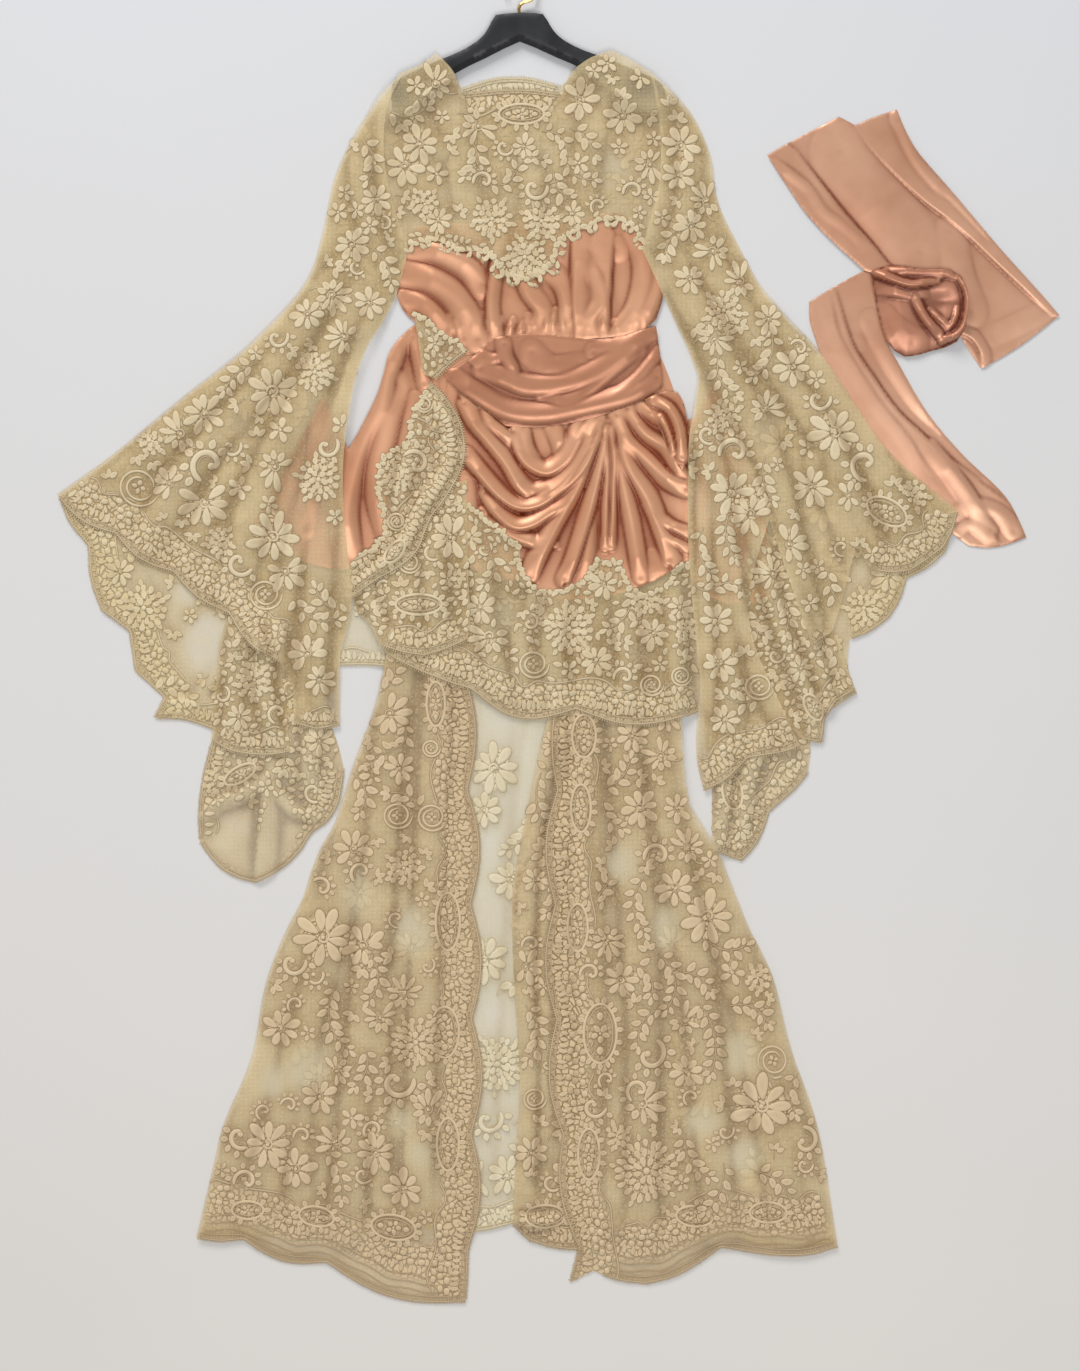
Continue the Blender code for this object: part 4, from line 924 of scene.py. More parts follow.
def satin_shell(laid):
    """A thin closed shell whose upper and lower faces meet round its edge."""
    points, faces, rim = flat_triangles(laid.outline, laid.cloth.step)
    low = laid.at(points) + SATIN_ABOVE
    high = low + SATIN_THICK
    high[:rim] = low[:rim] + SATIN_RIM * SATIN_THICK
    number = len(points)
    below = np.concatenate([np.arange(rim), np.arange(number, 2 * number - rim)])
    places = np.vstack([metres(points, high), metres(points[rim:], low[rim:])])
    # Painted shade: the satin's colour darkens in narrow creases and broad hollows, by how far each place lies below
    # the cells round it
    sharp = laid.hollow(CREASE_REACH) / CREASE_SHADE_DEEP
    broad = laid.hollow(BROAD_REACH) / HOLLOW_SHADE_DEEP
    crease_shade = laid.read(np.clip(np.maximum(sharp, broad), 0.0, 1.0) * laid.inside, points)
    made = mesh_object(
        laid.cloth.node + "_satin", places, np.vstack([faces, below[faces][:, ::-1]]),
        {"crease_shade": np.concatenate([crease_shade, crease_shade[rim:]])},
    )
    made.data.set_sharp_from_angle(angle=SHARP_RIM)
    return made


# Raised lace work: pads and cords on the net

PAD_LIFT = 1.0
CORD_LIFT = 1.15
BASE_LIFT = 0.12
Pad = namedtuple("Pad", "shape across down turn long wide bend tone lift", defaults=(PAD_LIFT,))
Cord = namedtuple("Cord", "path width tone lift", defaults=(CORD_LIFT,))


def rim_of(kind, count):
    """The unit outline of a pad, taken clockwise as seen in the layout's down direction."""
    angle = -np.arange(count) / count * math.tau
    u, v = np.cos(angle), np.sin(angle)
    if kind == "leaf":
        v = v * np.abs(v) ** 0.45 * (1.08 - 0.16 * u)
    if kind == "petal":
        v = v * np.abs(v) ** 0.10 * (0.80 + 0.26 * u - 0.06 * u * u)
    if kind == "cobble":
        u, v = (np.sign(side) * np.abs(side) ** 0.62 for side in (u, v))
    return np.column_stack([u, v])


def padded_shape(kind, count, rings, middle):
    """Points, lifts, shades and triangles of one pad: rings inside a rim, and a middle."""
    rim = rim_of(kind, count)
    points = np.vstack([rim * (long, wide) for long, wide, _, _ in rings] + [[[0.0, 0.0]]])
    lifts = np.concatenate([np.full(count, lift) for _, _, lift, _ in rings] + [[middle[0]]])
    shades = np.concatenate([np.full(count, shade) for _, _, _, shade in rings] + [[middle[1]]])
    faces = []
    for ring in range(len(rings) - 1):
        outer, inner = ring * count, (ring + 1) * count
        for i in range(count):
            after = (i + 1) % count
            faces += [(outer + i, outer + after, inner + after), (outer + i, inner + after, inner + i)]
    last, centre = (len(rings) - 1) * count, len(rings) * count
    faces += [(last + i, last + (i + 1) % count, centre) for i in range(count)]
    return points, lifts, shades, np.array(faces)


# Pad shapes: points, lifts, shades and triangles. Shade 0 at a rim paints the dark gap round each pad, partly the
# thread's brown outline and partly painted shade; the lower shade of a sunken middle is painted shade
BAR = (
    np.array([(-1, -1), (-1, 0), (-1, 1), (1, -1), (1, 0), (1, 1)], float),
    np.array([0.0, 1.0, 0.0, 0.0, 1.0, 0.0]),
    np.array([0.1, 1.0, 0.1, 0.1, 1.0, 0.1]),
    np.array([(0, 1, 4), (0, 4, 3), (1, 2, 5), (1, 5, 4)]),
)
RIM = (1.0, 1.0, 0.0, 0.0)
SHAPES = {
    "pebble": padded_shape("round", 8, (RIM, (0.76, 0.76, 0.85, 1.0)), (1.0, 0.94)),
    "cobble": padded_shape("cobble", 8, (RIM, (0.80, 0.78, 0.9, 1.0)), (1.0, 0.92)),
    "leaflet": padded_shape("leaf", 8, (RIM, (0.74, 0.70, 0.9, 1.0)), (0.78, 0.80)),
    "leaf": padded_shape(
        "leaf", 10, (RIM, (0.85, 0.80, 0.95, 1.0), (0.60, 0.40, 0.70, 0.92)), (0.58, 0.72)
    ),
    "petal": padded_shape(
        "petal", 12, (RIM, (0.88, 0.85, 0.92, 1.0), (0.56, 0.48, 0.78, 0.96)), (0.70, 0.86)
    ),
    "bar": BAR,
}


def out(reach, angle):
    """The place this far out from a middle."""
    return reach * math.cos(angle), reach * math.sin(angle)


def curve(angle, across, down):
    """Places on a curve round a middle, at each angle."""
    return np.column_stack([across * np.cos(angle), down * np.sin(angle)])


def pebble(size, tone=0.9):
    return Pad("pebble", 0, 0, 0, size, size, 0, tone)


def petals_round(draw, number, radius, long, wide, shape="petal", start=0.0, arc=math.tau):
    """Pads that point outward round a middle."""
    pads = []
    for i in range(number):
        angle = start + arc * i / number + draw.uniform(-0.07, 0.07)
        reach = radius * draw.uniform(0.95, 1.06)
        pads.append(Pad(
            shape, *out(reach, angle), angle + draw.uniform(-0.16, 0.16),
            long * draw.uniform(0.86, 1.16), wide * draw.uniform(0.92, 1.08),
            draw.uniform(-0.14, 0.14), draw.uniform(0.35, 1.0),
        ))
    return pads


def curled_middle(draw, size):
    """A small curl of cord round a bead."""
    angle = np.linspace(0.0, 4.6, 12) + draw.uniform(0.0, math.tau)
    radius = size * np.linspace(0.105, 0.05, 12)
    return [pebble(0.04 * size)], [Cord(curve(angle, radius, radius), 0.045 * size, 0.95)]


def bloom(draw, size):
    """An open flower: broad leafy petals that touch, uneven in length, round a curl."""
    pads, cords = curled_middle(draw, size)
    number = 8 if size < 60 else 9
    start = draw.uniform(0.0, 0.6)
    for i in range(number):
        angle = start + math.tau * i / number + draw.uniform(-0.08, 0.08)
        long = size * draw.uniform(0.150, 0.215)
        reach = 0.075 * size + long
        pads.append(Pad(
            "petal", *out(reach, angle), angle + draw.uniform(-0.12, 0.12), long,
            3.75 * reach / number * draw.uniform(0.90, 1.06), draw.uniform(-0.1, 0.1),
            draw.uniform(0.4, 1.0),
        ))
    return pads, cords


def fan_bloom(draw, size):
    """A flower from the side: long broad petals spread one way, small leaves and a curl behind."""
    pads, cords = curled_middle(draw, size)
    number = 6 if size > 50 else 5
    for i in range(number):
        angle = -1.5 + 3.0 * i / (number - 1) + draw.uniform(-0.06, 0.06)
        long = (0.155 + 0.06 * math.cos(angle)) * size * draw.uniform(0.9, 1.1)
        reach = 0.07 * size + long
        pads.append(Pad(
            "petal", *out(reach, angle), angle, long, 1.95 * reach / number * draw.uniform(0.9, 1.05),
            draw.uniform(-0.1, 0.1), draw.uniform(0.4, 1.0),
        ))
    pads += petals_round(draw, 4, 0.24 * size, 0.12 * size, 0.075 * size, "leaf", 2.2, 2.6)
    tail = np.array([(-0.12, 0.0), (-0.26, 0.03), (-0.38, 0.10), (-0.45, 0.22)]) * size
    return pads, cords + [Cord(through(tail), 2.2, 0.9)]


def blossom(draw, size):
    return petals_round(draw, 5, 0.28 * size, 0.22 * size, 0.17 * size) + [pebble(0.07 * size)], []


def rose(draw, size):
    """Small round petals packed in rings round a bud, with a few leaves outside."""
    pads = [pebble(0.06 * size, 1.0)]
    for share in (0.14, 0.27, 0.40):
        radius = share * size
        number = max(4, round(math.tau * radius / 9.6))
        pads += petals_round(
            draw, number, radius, 0.06 * size + 1.6, 3.0 * radius / number + 0.4, "petal", 3.0 * share
        )
    pads += petals_round(draw, 5, 0.52 * size, 5.4, 3.2, "leaf", draw.uniform(0.0, 1.0))
    return pads, []


def leafy_stem(draw, line, least, most):
    """Leaves on both sides of a stem, longest in its middle, and a bud at its tip."""
    stem = evenly(line, 2.6)
    run = np.gradient(stem, axis=0)
    heading = np.arctan2(run[:, 1], run[:, 0])
    number = max(3, round(len(stem) * 2.6 / (1.55 * most)))
    pads = []
    for i in range(number):
        share = (i + 0.6) / number
        at = min(int(share * len(stem)), len(stem) - 1)
        swell = math.sin(math.pi * (0.15 + 0.8 * share))
        for side in (-1, 1):
            long = (least + (most - least) * swell) * draw.uniform(0.85, 1.1)
            angle = heading[at] + side * draw.uniform(0.7, 1.0)
            pads.append(Pad(
                "leaf" if long > 5.0 else "leaflet", *(stem[at] + out(long + 1.2, angle)), angle, long,
                long * 0.56, side * 0.16, draw.uniform(0.35, 1.0),
            ))
    tip = heading[-1]
    pads.append(Pad("petal", *(stem[-1] + out(6.0, tip)), tip, 6.4, 4.2, 0, 0.95))
    return pads, [Cord(stem, 1.8, 0.8)]


def spray(draw, size):
    """A bent leafy stem."""
    bow = draw.choice((-1, 1)) * draw.uniform(0.12, 0.24) * size
    along = np.linspace(-0.5, 0.5, 9)
    return leafy_stem(draw, np.column_stack([along * size, bow * (0.6 - 4.0 * along ** 2)]), 5.2, 9.0)


def vine(draw, size):
    """A leafy stem that bends both ways."""
    sway = draw.choice((-1, 1)) * 0.13 * size
    along = np.linspace(-0.5, 0.5, 13)
    return leafy_stem(draw, np.column_stack([along * size, sway * np.sin(math.tau * along)]), 5.0, 8.0)


def scroll(draw, size):
    """A bold curl with a bead at its heart and leaves along its back."""
    angle = np.linspace(-0.6, 4.3, 22)
    radius = size * (0.40 - 0.055 * (angle + 0.6))
    curl = curve(angle, radius, radius)
    heart = curl[-1] * 0.5
    pads = [Pad("pebble", *heart, 0, 0.1 * size, 0.09 * size, 0, 0.9)]
    for turn in np.arange(-0.2, 3.1, 0.62):
        away = size * (0.40 - 0.055 * (turn + 0.6)) + 0.19 * size
        pads.append(Pad(
            "leaf", *out(away, turn), turn + draw.uniform(-0.3, 0.3), 0.125 * size, 0.090 * size, 0,
            draw.uniform(0.4, 1.0),
        ))
    inner = curl[:16] * 0.68
    return pads, [Cord(curl, 0.15 * size, 1.0, 1.25 * CORD_LIFT), Cord(inner, 1.8, 0.7)]


def medallion(draw, size, share=0.56):
    """An oval frame of two cords round a small flower on bare net, petals fanned outside."""
    wide, tall = size, size * share
    pads = petals_round(draw, 5, 0.15 * tall + 1.6, 0.12 * tall + 1.0, 0.09 * tall + 0.6, "leaflet")
    pads.append(pebble(1.9))
    for side in (-1, 1):
        pads.append(Pad("leaflet", side * 0.29 * wide, 0, 0, 0.085 * wide, 0.13 * tall, 0, 0.8))
    around = max(10, round((wide + tall) / 6.0))
    for i in range(around):
        angle = math.tau * (i + draw.uniform(-0.2, 0.2)) / around
        x, y = (0.5 * wide + 4.8) * math.cos(angle), (0.5 * tall + 4.8) * math.sin(angle)
        pads.append(Pad(
            "leaf", x, y, math.atan2(y, x * tall / wide), draw.uniform(4.4, 5.6), 3.6, 0,
            draw.uniform(0.4, 1.0),
        ))
    angle = np.linspace(0.0, math.tau, 27)
    return pads, [
        Cord(curve(angle, 0.5 * wide, 0.5 * tall), 4.2, 0.9),
        Cord(curve(angle, 0.5 * (wide - 9.5), 0.5 * (tall - 9.5)), 2.2, 0.7),
    ]


def slim_medallion(draw, size):
    return medallion(draw, size, 0.42)


def flat_medallion(draw, size):
    return medallion(draw, size, 0.44)


def ring(draw, size):
    """A round coil of cord that winds in to a few small leaves."""
    radius = size * np.linspace(0.43, 0.20, 40)
    coil = curve(np.linspace(0.0, math.tau * 1.75, 40), radius, 0.94 * radius)
    pads = petals_round(draw, 4, 0.085 * size, 0.075 * size, 0.055 * size, "leaflet")
    return pads, [Cord(coil, 3.4, 0.9)]


def trefoil(draw, size):
    """Three or four leaves from one point on a short stem."""
    number = draw.choice((3, 3, 4))
    pads = petals_round(
        draw, number, 0.30 * size, 0.26 * size, 0.15 * size, "leaf", -1.0, 0.95 * number
    )
    return pads, [Cord(np.array([(0.0, 0.0), (-0.2, 0.04), (-0.42, 0.16)]) * size, 1.4, 0.8)]


def single_leaf(draw, size):
    bend = draw.uniform(-0.3, 0.3)
    return [Pad("leaflet", 0, 0, 0, 0.5 * size, 0.26 * size, bend, draw.uniform(0.4, 1.0))], []


def bead(draw, size):
    return [Pad("cobble", 0, 0, 0, 0.5 * size, 0.42 * size, 0, draw.uniform(0.4, 1.0))], []


# Lace designs. Each row is a motif's kind, place, size and turn in degrees

MOTIFS = {
    "yoke_front": [
        (flat_medallion, 652, 143, 57, 0), (bloom, 525, 181, 58, 20), (blossom, 546, 218, 30, 0),
        (bloom, 655, 184, 40, 90), (scroll, 605, 227, 34, 200), (scroll, 668, 236, 42, 20),
        (scroll, 792, 240, 34, 200), (scroll, 846, 268, 30, 0), (rose, 615, 274, 52, 0),
        (rose, 677, 277, 50, 30), (rose, 656, 322, 52, 60), (bloom, 778, 146, 56, 200),
        (blossom, 838, 196, 34, 10), (blossom, 724, 205, 30, 40), (bloom, 790, 290, 46, 120),
        (bloom, 716, 268, 36, 40), (bloom, 548, 276, 40, 60), (blossom, 500, 300, 26, 0),
        (spray, 590, 200, 46, 100), (spray, 700, 232, 44, 60), (blossom, 520, 110, 26, 0),
        (blossom, 800, 100, 28, 30),
    ],
    "sleeve_left_front": [
        (bloom, 256, 518, 62, -70), (bloom, 342, 490, 78, -20), (rose, 394, 466, 52, 0),
        (scroll, 347, 423, 36, 10), (scroll, 262, 581, 58, 150), (scroll, 289, 559, 34, 10),
        (blossom, 351, 538, 34, 0), (bloom, 256, 628, 74, 90), (bloom, 213, 605, 50, 170),
        (bloom, 342, 672, 76, -80), (rose, 399, 600, 56, 0), (scroll, 409, 559, 40, 0),
        (ring, 332, 743, 50, 0), (spray, 392, 764, 64, 30), (blossom, 428, 533, 30, 0),
        (bloom, 385, 394, 50, 10), (bloom, 462, 380, 48, 60), (ring, 174, 609, 62, 20),
        (scroll, 300, 704, 44, 60), (bloom, 400, 850, 44, 90), (bloom, 470, 250, 46, 100),
        (bloom, 440, 306, 50, 40), (spray, 460, 200, 52, 80), (bloom, 487, 160, 40, 0),
        (spray, 300, 470, 52, 140), (blossom, 300, 610, 32, 0),
    ],
    "sleeve_right_front": [
        (bloom, 990, 461, 58, 30), (bloom, 1043, 542, 76, 40), (scroll, 1081, 581, 52, 120),
        (scroll, 918, 566, 50, 200), (rose, 904, 389, 50, 0), (bloom, 1014, 609, 60, -60),
        (bloom, 985, 681, 62, -80), (bloom, 938, 643, 66, 20), (bloom, 895, 777, 52, 90),
        (ring, 948, 858, 44, 0), (medallion, 1108, 640, 54, 30), (spray, 1043, 734, 54, 70),
        (bloom, 862, 350, 46, 60), (spray, 905, 470, 58, 70), (rose, 905, 520, 44, 0),
        (bloom, 960, 400, 46, 0), (bloom, 900, 830, 50, 60), (spray, 955, 740, 60, 80),
        (scroll, 1022, 500, 40, 20), (bloom, 848, 220, 48, 100), (bloom, 864, 284, 50, 30),
        (rose, 1140, 620, 40, 0), (spray, 880, 690, 60, 80), (blossom, 1010, 560, 30, 0),
        (bloom, 905, 900, 44, 90), (bloom, 1060, 620, 44, 0),
    ],
    "skirt_front_right": [
        (slim_medallion, 722, 1159, 60, 90), (medallion, 750, 1291, 74, 90),
        (slim_medallion, 736, 1442, 64, 90), (slim_medallion, 726, 1010, 60, 90),
        (medallion, 730, 920, 54, 90), (scroll, 742, 1382, 40, 40), (scroll, 738, 1216, 34, 200),
        (bloom, 885, 1145, 76, 60), (spray, 885, 1296, 92, 80), (bloom, 951, 1382, 90, 150),
        (rose, 808, 1462, 84, 0), (scroll, 1005, 1426, 46, 300), (ring, 966, 1325, 52, 60),
        (scroll, 812, 1318, 52, 330), (scroll, 798, 1362, 40, 160), (spray, 834, 1225, 72, 80),
        (spray, 935, 1264, 56, 20), (spray, 806, 1222, 48, 60), (spray, 868, 1446, 62, 60),
        (spray, 896, 1484, 66, 110), (bloom, 858, 1340, 50, 90), (bloom, 800, 1010, 58, 30),
        (bloom, 790, 920, 52, 0), (scroll, 822, 1070, 44, 200), (bloom, 846, 1010, 46, 60),
        (spray, 800, 1130, 70, 90), (medallion, 868, 1520, 46, 5), (medallion, 960, 1515, 46, 0),
        (blossom, 915, 1215, 34, 0), (spray, 968, 1480, 60, 40),
    ],
    "skirt_front_left": [
        (bloom, 404, 1171, 84, 10), (spray, 422, 1272, 84, 80), (bloom, 335, 1430, 70, 40),
        (bloom, 352, 1285, 56, 0), (scroll, 366, 1203, 44, 20), (scroll, 300, 1420, 46, 40),
        (scroll, 308, 1476, 40, 200), (scroll, 496, 1352, 56, 20), (rose, 520, 1302, 66, 0),
        (slim_medallion, 545, 880, 56, 90), (slim_medallion, 560, 1152, 72, 90),
        (medallion, 556, 1290, 64, 90), (slim_medallion, 560, 1430, 66, 90), (ring, 497, 1019, 44, 0),
        (ring, 540, 1021, 46, 0), (ring, 539, 935, 28, 0), (bloom, 470, 1440, 60, 90),
        (medallion, 492, 1534, 56, 10), (spray, 420, 1466, 64, 70), (bloom, 400, 1370, 54, 60),
        (rose, 505, 1085, 46, 0), (spray, 466, 1220, 60, 90), (scroll, 452, 1090, 36, 160),
        (medallion, 396, 1520, 44, 10), (medallion, 310, 1512, 40, 0), (bloom, 500, 960, 44, 20),
        (spray, 450, 990, 50, 80), (blossom, 440, 1396, 30, 0),
    ],
    "skirt_front_underfold": [
        (spray, 676, 1000, 70, 85), (bloom, 670, 1100, 40, 90), (scroll, 664, 1180, 30, 200),
        (spray, 664, 1290, 70, 88), (ring, 668, 1372, 36, 0), (bloom, 664, 1440, 50, 90),
        (medallion, 682, 1520, 50, 0), (bloom, 690, 930, 36, 0),
    ],
    "peplum_front": [
        (ring, 667, 830, 46, 0), (ring, 814, 856, 36, 0), (ring, 851, 845, 32, 0),
        (bloom, 565, 672, 54, 20), (rose, 711, 786, 66, 0), (bloom, 816, 792, 50, 50),
        (rose, 688, 726, 40, 0), (bloom, 755, 730, 44, 90), (rose, 808, 748, 44, 0),
        (bloom, 600, 760, 48, 60), (spray, 612, 712, 40, 100), (bloom, 745, 826, 46, 0),
        (bloom, 850, 760, 40, 0), (scroll, 780, 846, 34, 200), (scroll, 560, 790, 30, 20),
        (bloom, 588, 672, 38, 0),
    ],
    "frill_lower": [
        (flat_medallion, 524, 756, 58, 0), (bloom, 563, 672, 62, 40), (ring, 512, 704, 34, 0),
        (bloom, 556, 618, 34, 0), (blossom, 482, 745, 26, 0), (blossom, 560, 724, 24, 0),
    ],
    "frill_border": [
        (ring, 530, 506, 26, 0), (scroll, 520, 580, 44, 250), (ring, 496, 652, 30, 0),
        (medallion, 494, 690, 34, 130), (rose, 500, 600, 34, 0), (blossom, 545, 540, 20, 0),
    ],
    "frill_corner": [(blossom, 544, 430, 24, 0), (blossom, 556, 448, 18, 0)],
    "sleeve_left_tail": [
        (flat_medallion, 300, 968, 44, 150), (bloom, 400, 926, 44, 0), (scroll, 392, 990, 34, 100),
        (rose, 268, 976, 34, 90), (scroll, 290, 930, 30, 20), (blossom, 272, 1000, 18, 0),
        (spray, 352, 940, 44, 80),
    ],
    "sleeve_right_tail": [
        (bloom, 950, 940, 40, 0), (medallion, 915, 990, 44, 80), (bloom, 925, 1036, 34, 0),
    ],
    "sleeve_left_fold": [
        (rose, 318, 850, 46, 0), (scroll, 330, 800, 34, 20), (bloom, 300, 896, 40, 0),
        (bloom, 336, 780, 30, 0),
    ],
    "sleeve_right_strip": [
        (spray, 975, 760, 66, 70), (bloom, 1000, 836, 40, 60), (medallion, 1016, 884, 36, 60),
        (spray, 1040, 820, 40, 60),
    ],
    "skirt_back": [
        (bloom, 618, 960, 70, 0), (bloom, 640, 1100, 62, 40), (bloom, 606, 1200, 70, 20),
        (rose, 622, 1330, 72, 0), (scroll, 610, 1400, 46, 0), (bloom, 634, 1470, 60, 0),
    ],
    "sleeve_left_back": [
        (bloom, 170, 680, 50, 0), (rose, 180, 760, 60, 0), (bloom, 150, 715, 40, 0),
        (spray, 214, 866, 50, 10),
    ],
    "sleeve_right_back": [
        (bloom, 1110, 720, 50, 0), (rose, 1080, 760, 50, 0), (spray, 1040, 840, 50, 60),
    ],
}

# Where the net shows bare: across, down, width and height. A plain one is no sheerer

WINDOWS = {
    "skirt_front_right": [
        (925, 1316, 36, 44), (878, 1400, 38, 30), (931, 1446, 34, 36), (830, 1160, 26, 50),
        (776, 1080, 30, 44),
    ],
    "skirt_front_left": [
        (516, 1165, 36, 60), (385, 1336, 44, 54), (502, 1402, 30, 30), (526, 1440, 26, 26),
        (447, 1112, 26, 56), (455, 840, 30, 60), (340, 1350, 26, 36),
    ],
    "yoke_front": [(806, 112, 44, 30), (490, 120, 40, 40), (770, 212, 32, 36)],
    "sleeve_left_front": [
        (490, 120, 40, 40), (378, 634, 58, 110), (404, 700, 40, 56), (398, 540, 36, 90),
        (300, 528, 26, 20), (455, 430, 24, 36),
    ],
    "sleeve_right_front": [
        (806, 112, 44, 30), (1024, 662, 30, 28), (960, 540, 30, 46), (870, 480, 20, 40),
        (1000, 400, 24, 24), (940, 700, 22, 36), (880, 620, 22, 36),
    ],
    "peplum_front": [(632, 770, 26, 40), (800, 818, 24, 20)],
    "sleeve_left_back": [(262, 806, 60, 74), (232, 740, 30, 30)],
    "skirt_back": [
        (612, 1060, 22, 44), (630, 880, 40, 60), (612, 1260, 26, 40), (628, 1410, 22, 30),
        (676, 1010, 24, 50),
    ],
    "sleeve_left_tail": [
        (286, 1040, 66, 74, "plain"), (350, 1036, 44, 70, "plain"), (322, 1074, 66, 50, "plain"),
        (284, 1026, 12, 10), (300, 1034, 14, 12),
    ],
}

# Borders: where each starts, passes and ends along its piece's edge, and how wide it is

BORDERS = {
    "yoke_front": [
        ((578, 118), (650, 112), (702, 118), 26, "neck"),
        ((806, 310), (661, 352), (507, 310), 14, "applique"),
    ],
    "yoke_back": [((578, 111), (645, 97), (700, 108), 14, "plain")],
    "sleeve_left_front": [
        ((350, 826), (180, 690), (74, 621), 46, "scallop"),
        ((425, 906), (398, 912), (368, 904), 22, "plain"),
    ],
    "sleeve_left_back": [
        ((191, 899), (130, 770), (74, 619), 40, "scallop"),
        ((426, 818), (266, 916), (196, 899), 26, "plain"),
    ],
    "sleeve_left_tail": [
        ((429, 960), (420, 1000), (394, 1030), 30, "scallop"),
        ((394, 1030), (320, 1103), (250, 1052), 10, "plain"),
        ((250, 1050), (256, 980), (284, 900), 20, "plain"),
    ],
    "sleeve_left_fold": [((363, 940), (320, 944), (265, 925), 30, "scallop")],
    "sleeve_right_front": [
        ((1196, 640), (1158, 700), (1088, 712), 36, "scallop"),
        ((1034, 801), (1020, 806), (1014, 808), 12, "plain"),
        ((1000, 932), (940, 944), (880, 986), 38, "scallop"),
    ],
    "sleeve_right_back": [
        ((1194, 662), (1135, 724), (1064, 801), 34, "scallop"),
        ((1070, 866), (1000, 906), (880, 938), 26, "plain"),
    ],
    "sleeve_right_strip": [((1068, 862), (1030, 900), (1004, 925), 24, "plain")],
    "sleeve_right_tail": [((1010, 965), (950, 1030), (892, 1062), 32, "scallop")],
    "skirt_front_left": [
        ((584, 702), (590, 1360), (582, 1625), 46, "scallop"),
        ((582, 1627), (408, 1577), (247, 1547), 72, "hem"),
    ],
    "skirt_front_right": [
        ((712, 1602), (694, 1200), (700, 702), 52, "scallop"),
        ((1046, 1558), (814, 1604), (752, 1598), 72, "hem"),
    ],
    "skirt_front_underfold": [((752, 1556), (687, 1558), (641, 1530), 30, "scallop")],
    "skirt_back": [((1045, 1552), (640, 1530), (247, 1541), 30, "plain")],
    "peplum_front": [
        ((878, 888), (651, 885), (484, 818), 42, "scallop"),
        ((550, 622), (705, 738), (868, 700), 10, "applique"),
    ],
    "peplum_back": [((520, 838), (456, 834), (412, 832), 18, "plain")],
    "frill_lower": [((585, 799), (530, 820), (475, 806), 30, "scallop")],
    "frill_border": [
        ((538, 478), (581, 572), (438, 750), 40, "scallop"),
        ((446, 694), (472, 616), (530, 484), 8, "applique"),
    ],
    "frill_corner": [
        ((517, 388), (550, 412), (585, 438), 10, "applique"),
        ((585, 438), (560, 458), (545, 474), 10, "plain"),
    ],
}


MOTIF_ROOM = 0.25
TIP_SHARE = 0.8
SIDE_SHARE = 0.7
PAD_GAP = 0.3
CORD_GAP = 0.6
FILL_TRIES = 3.0


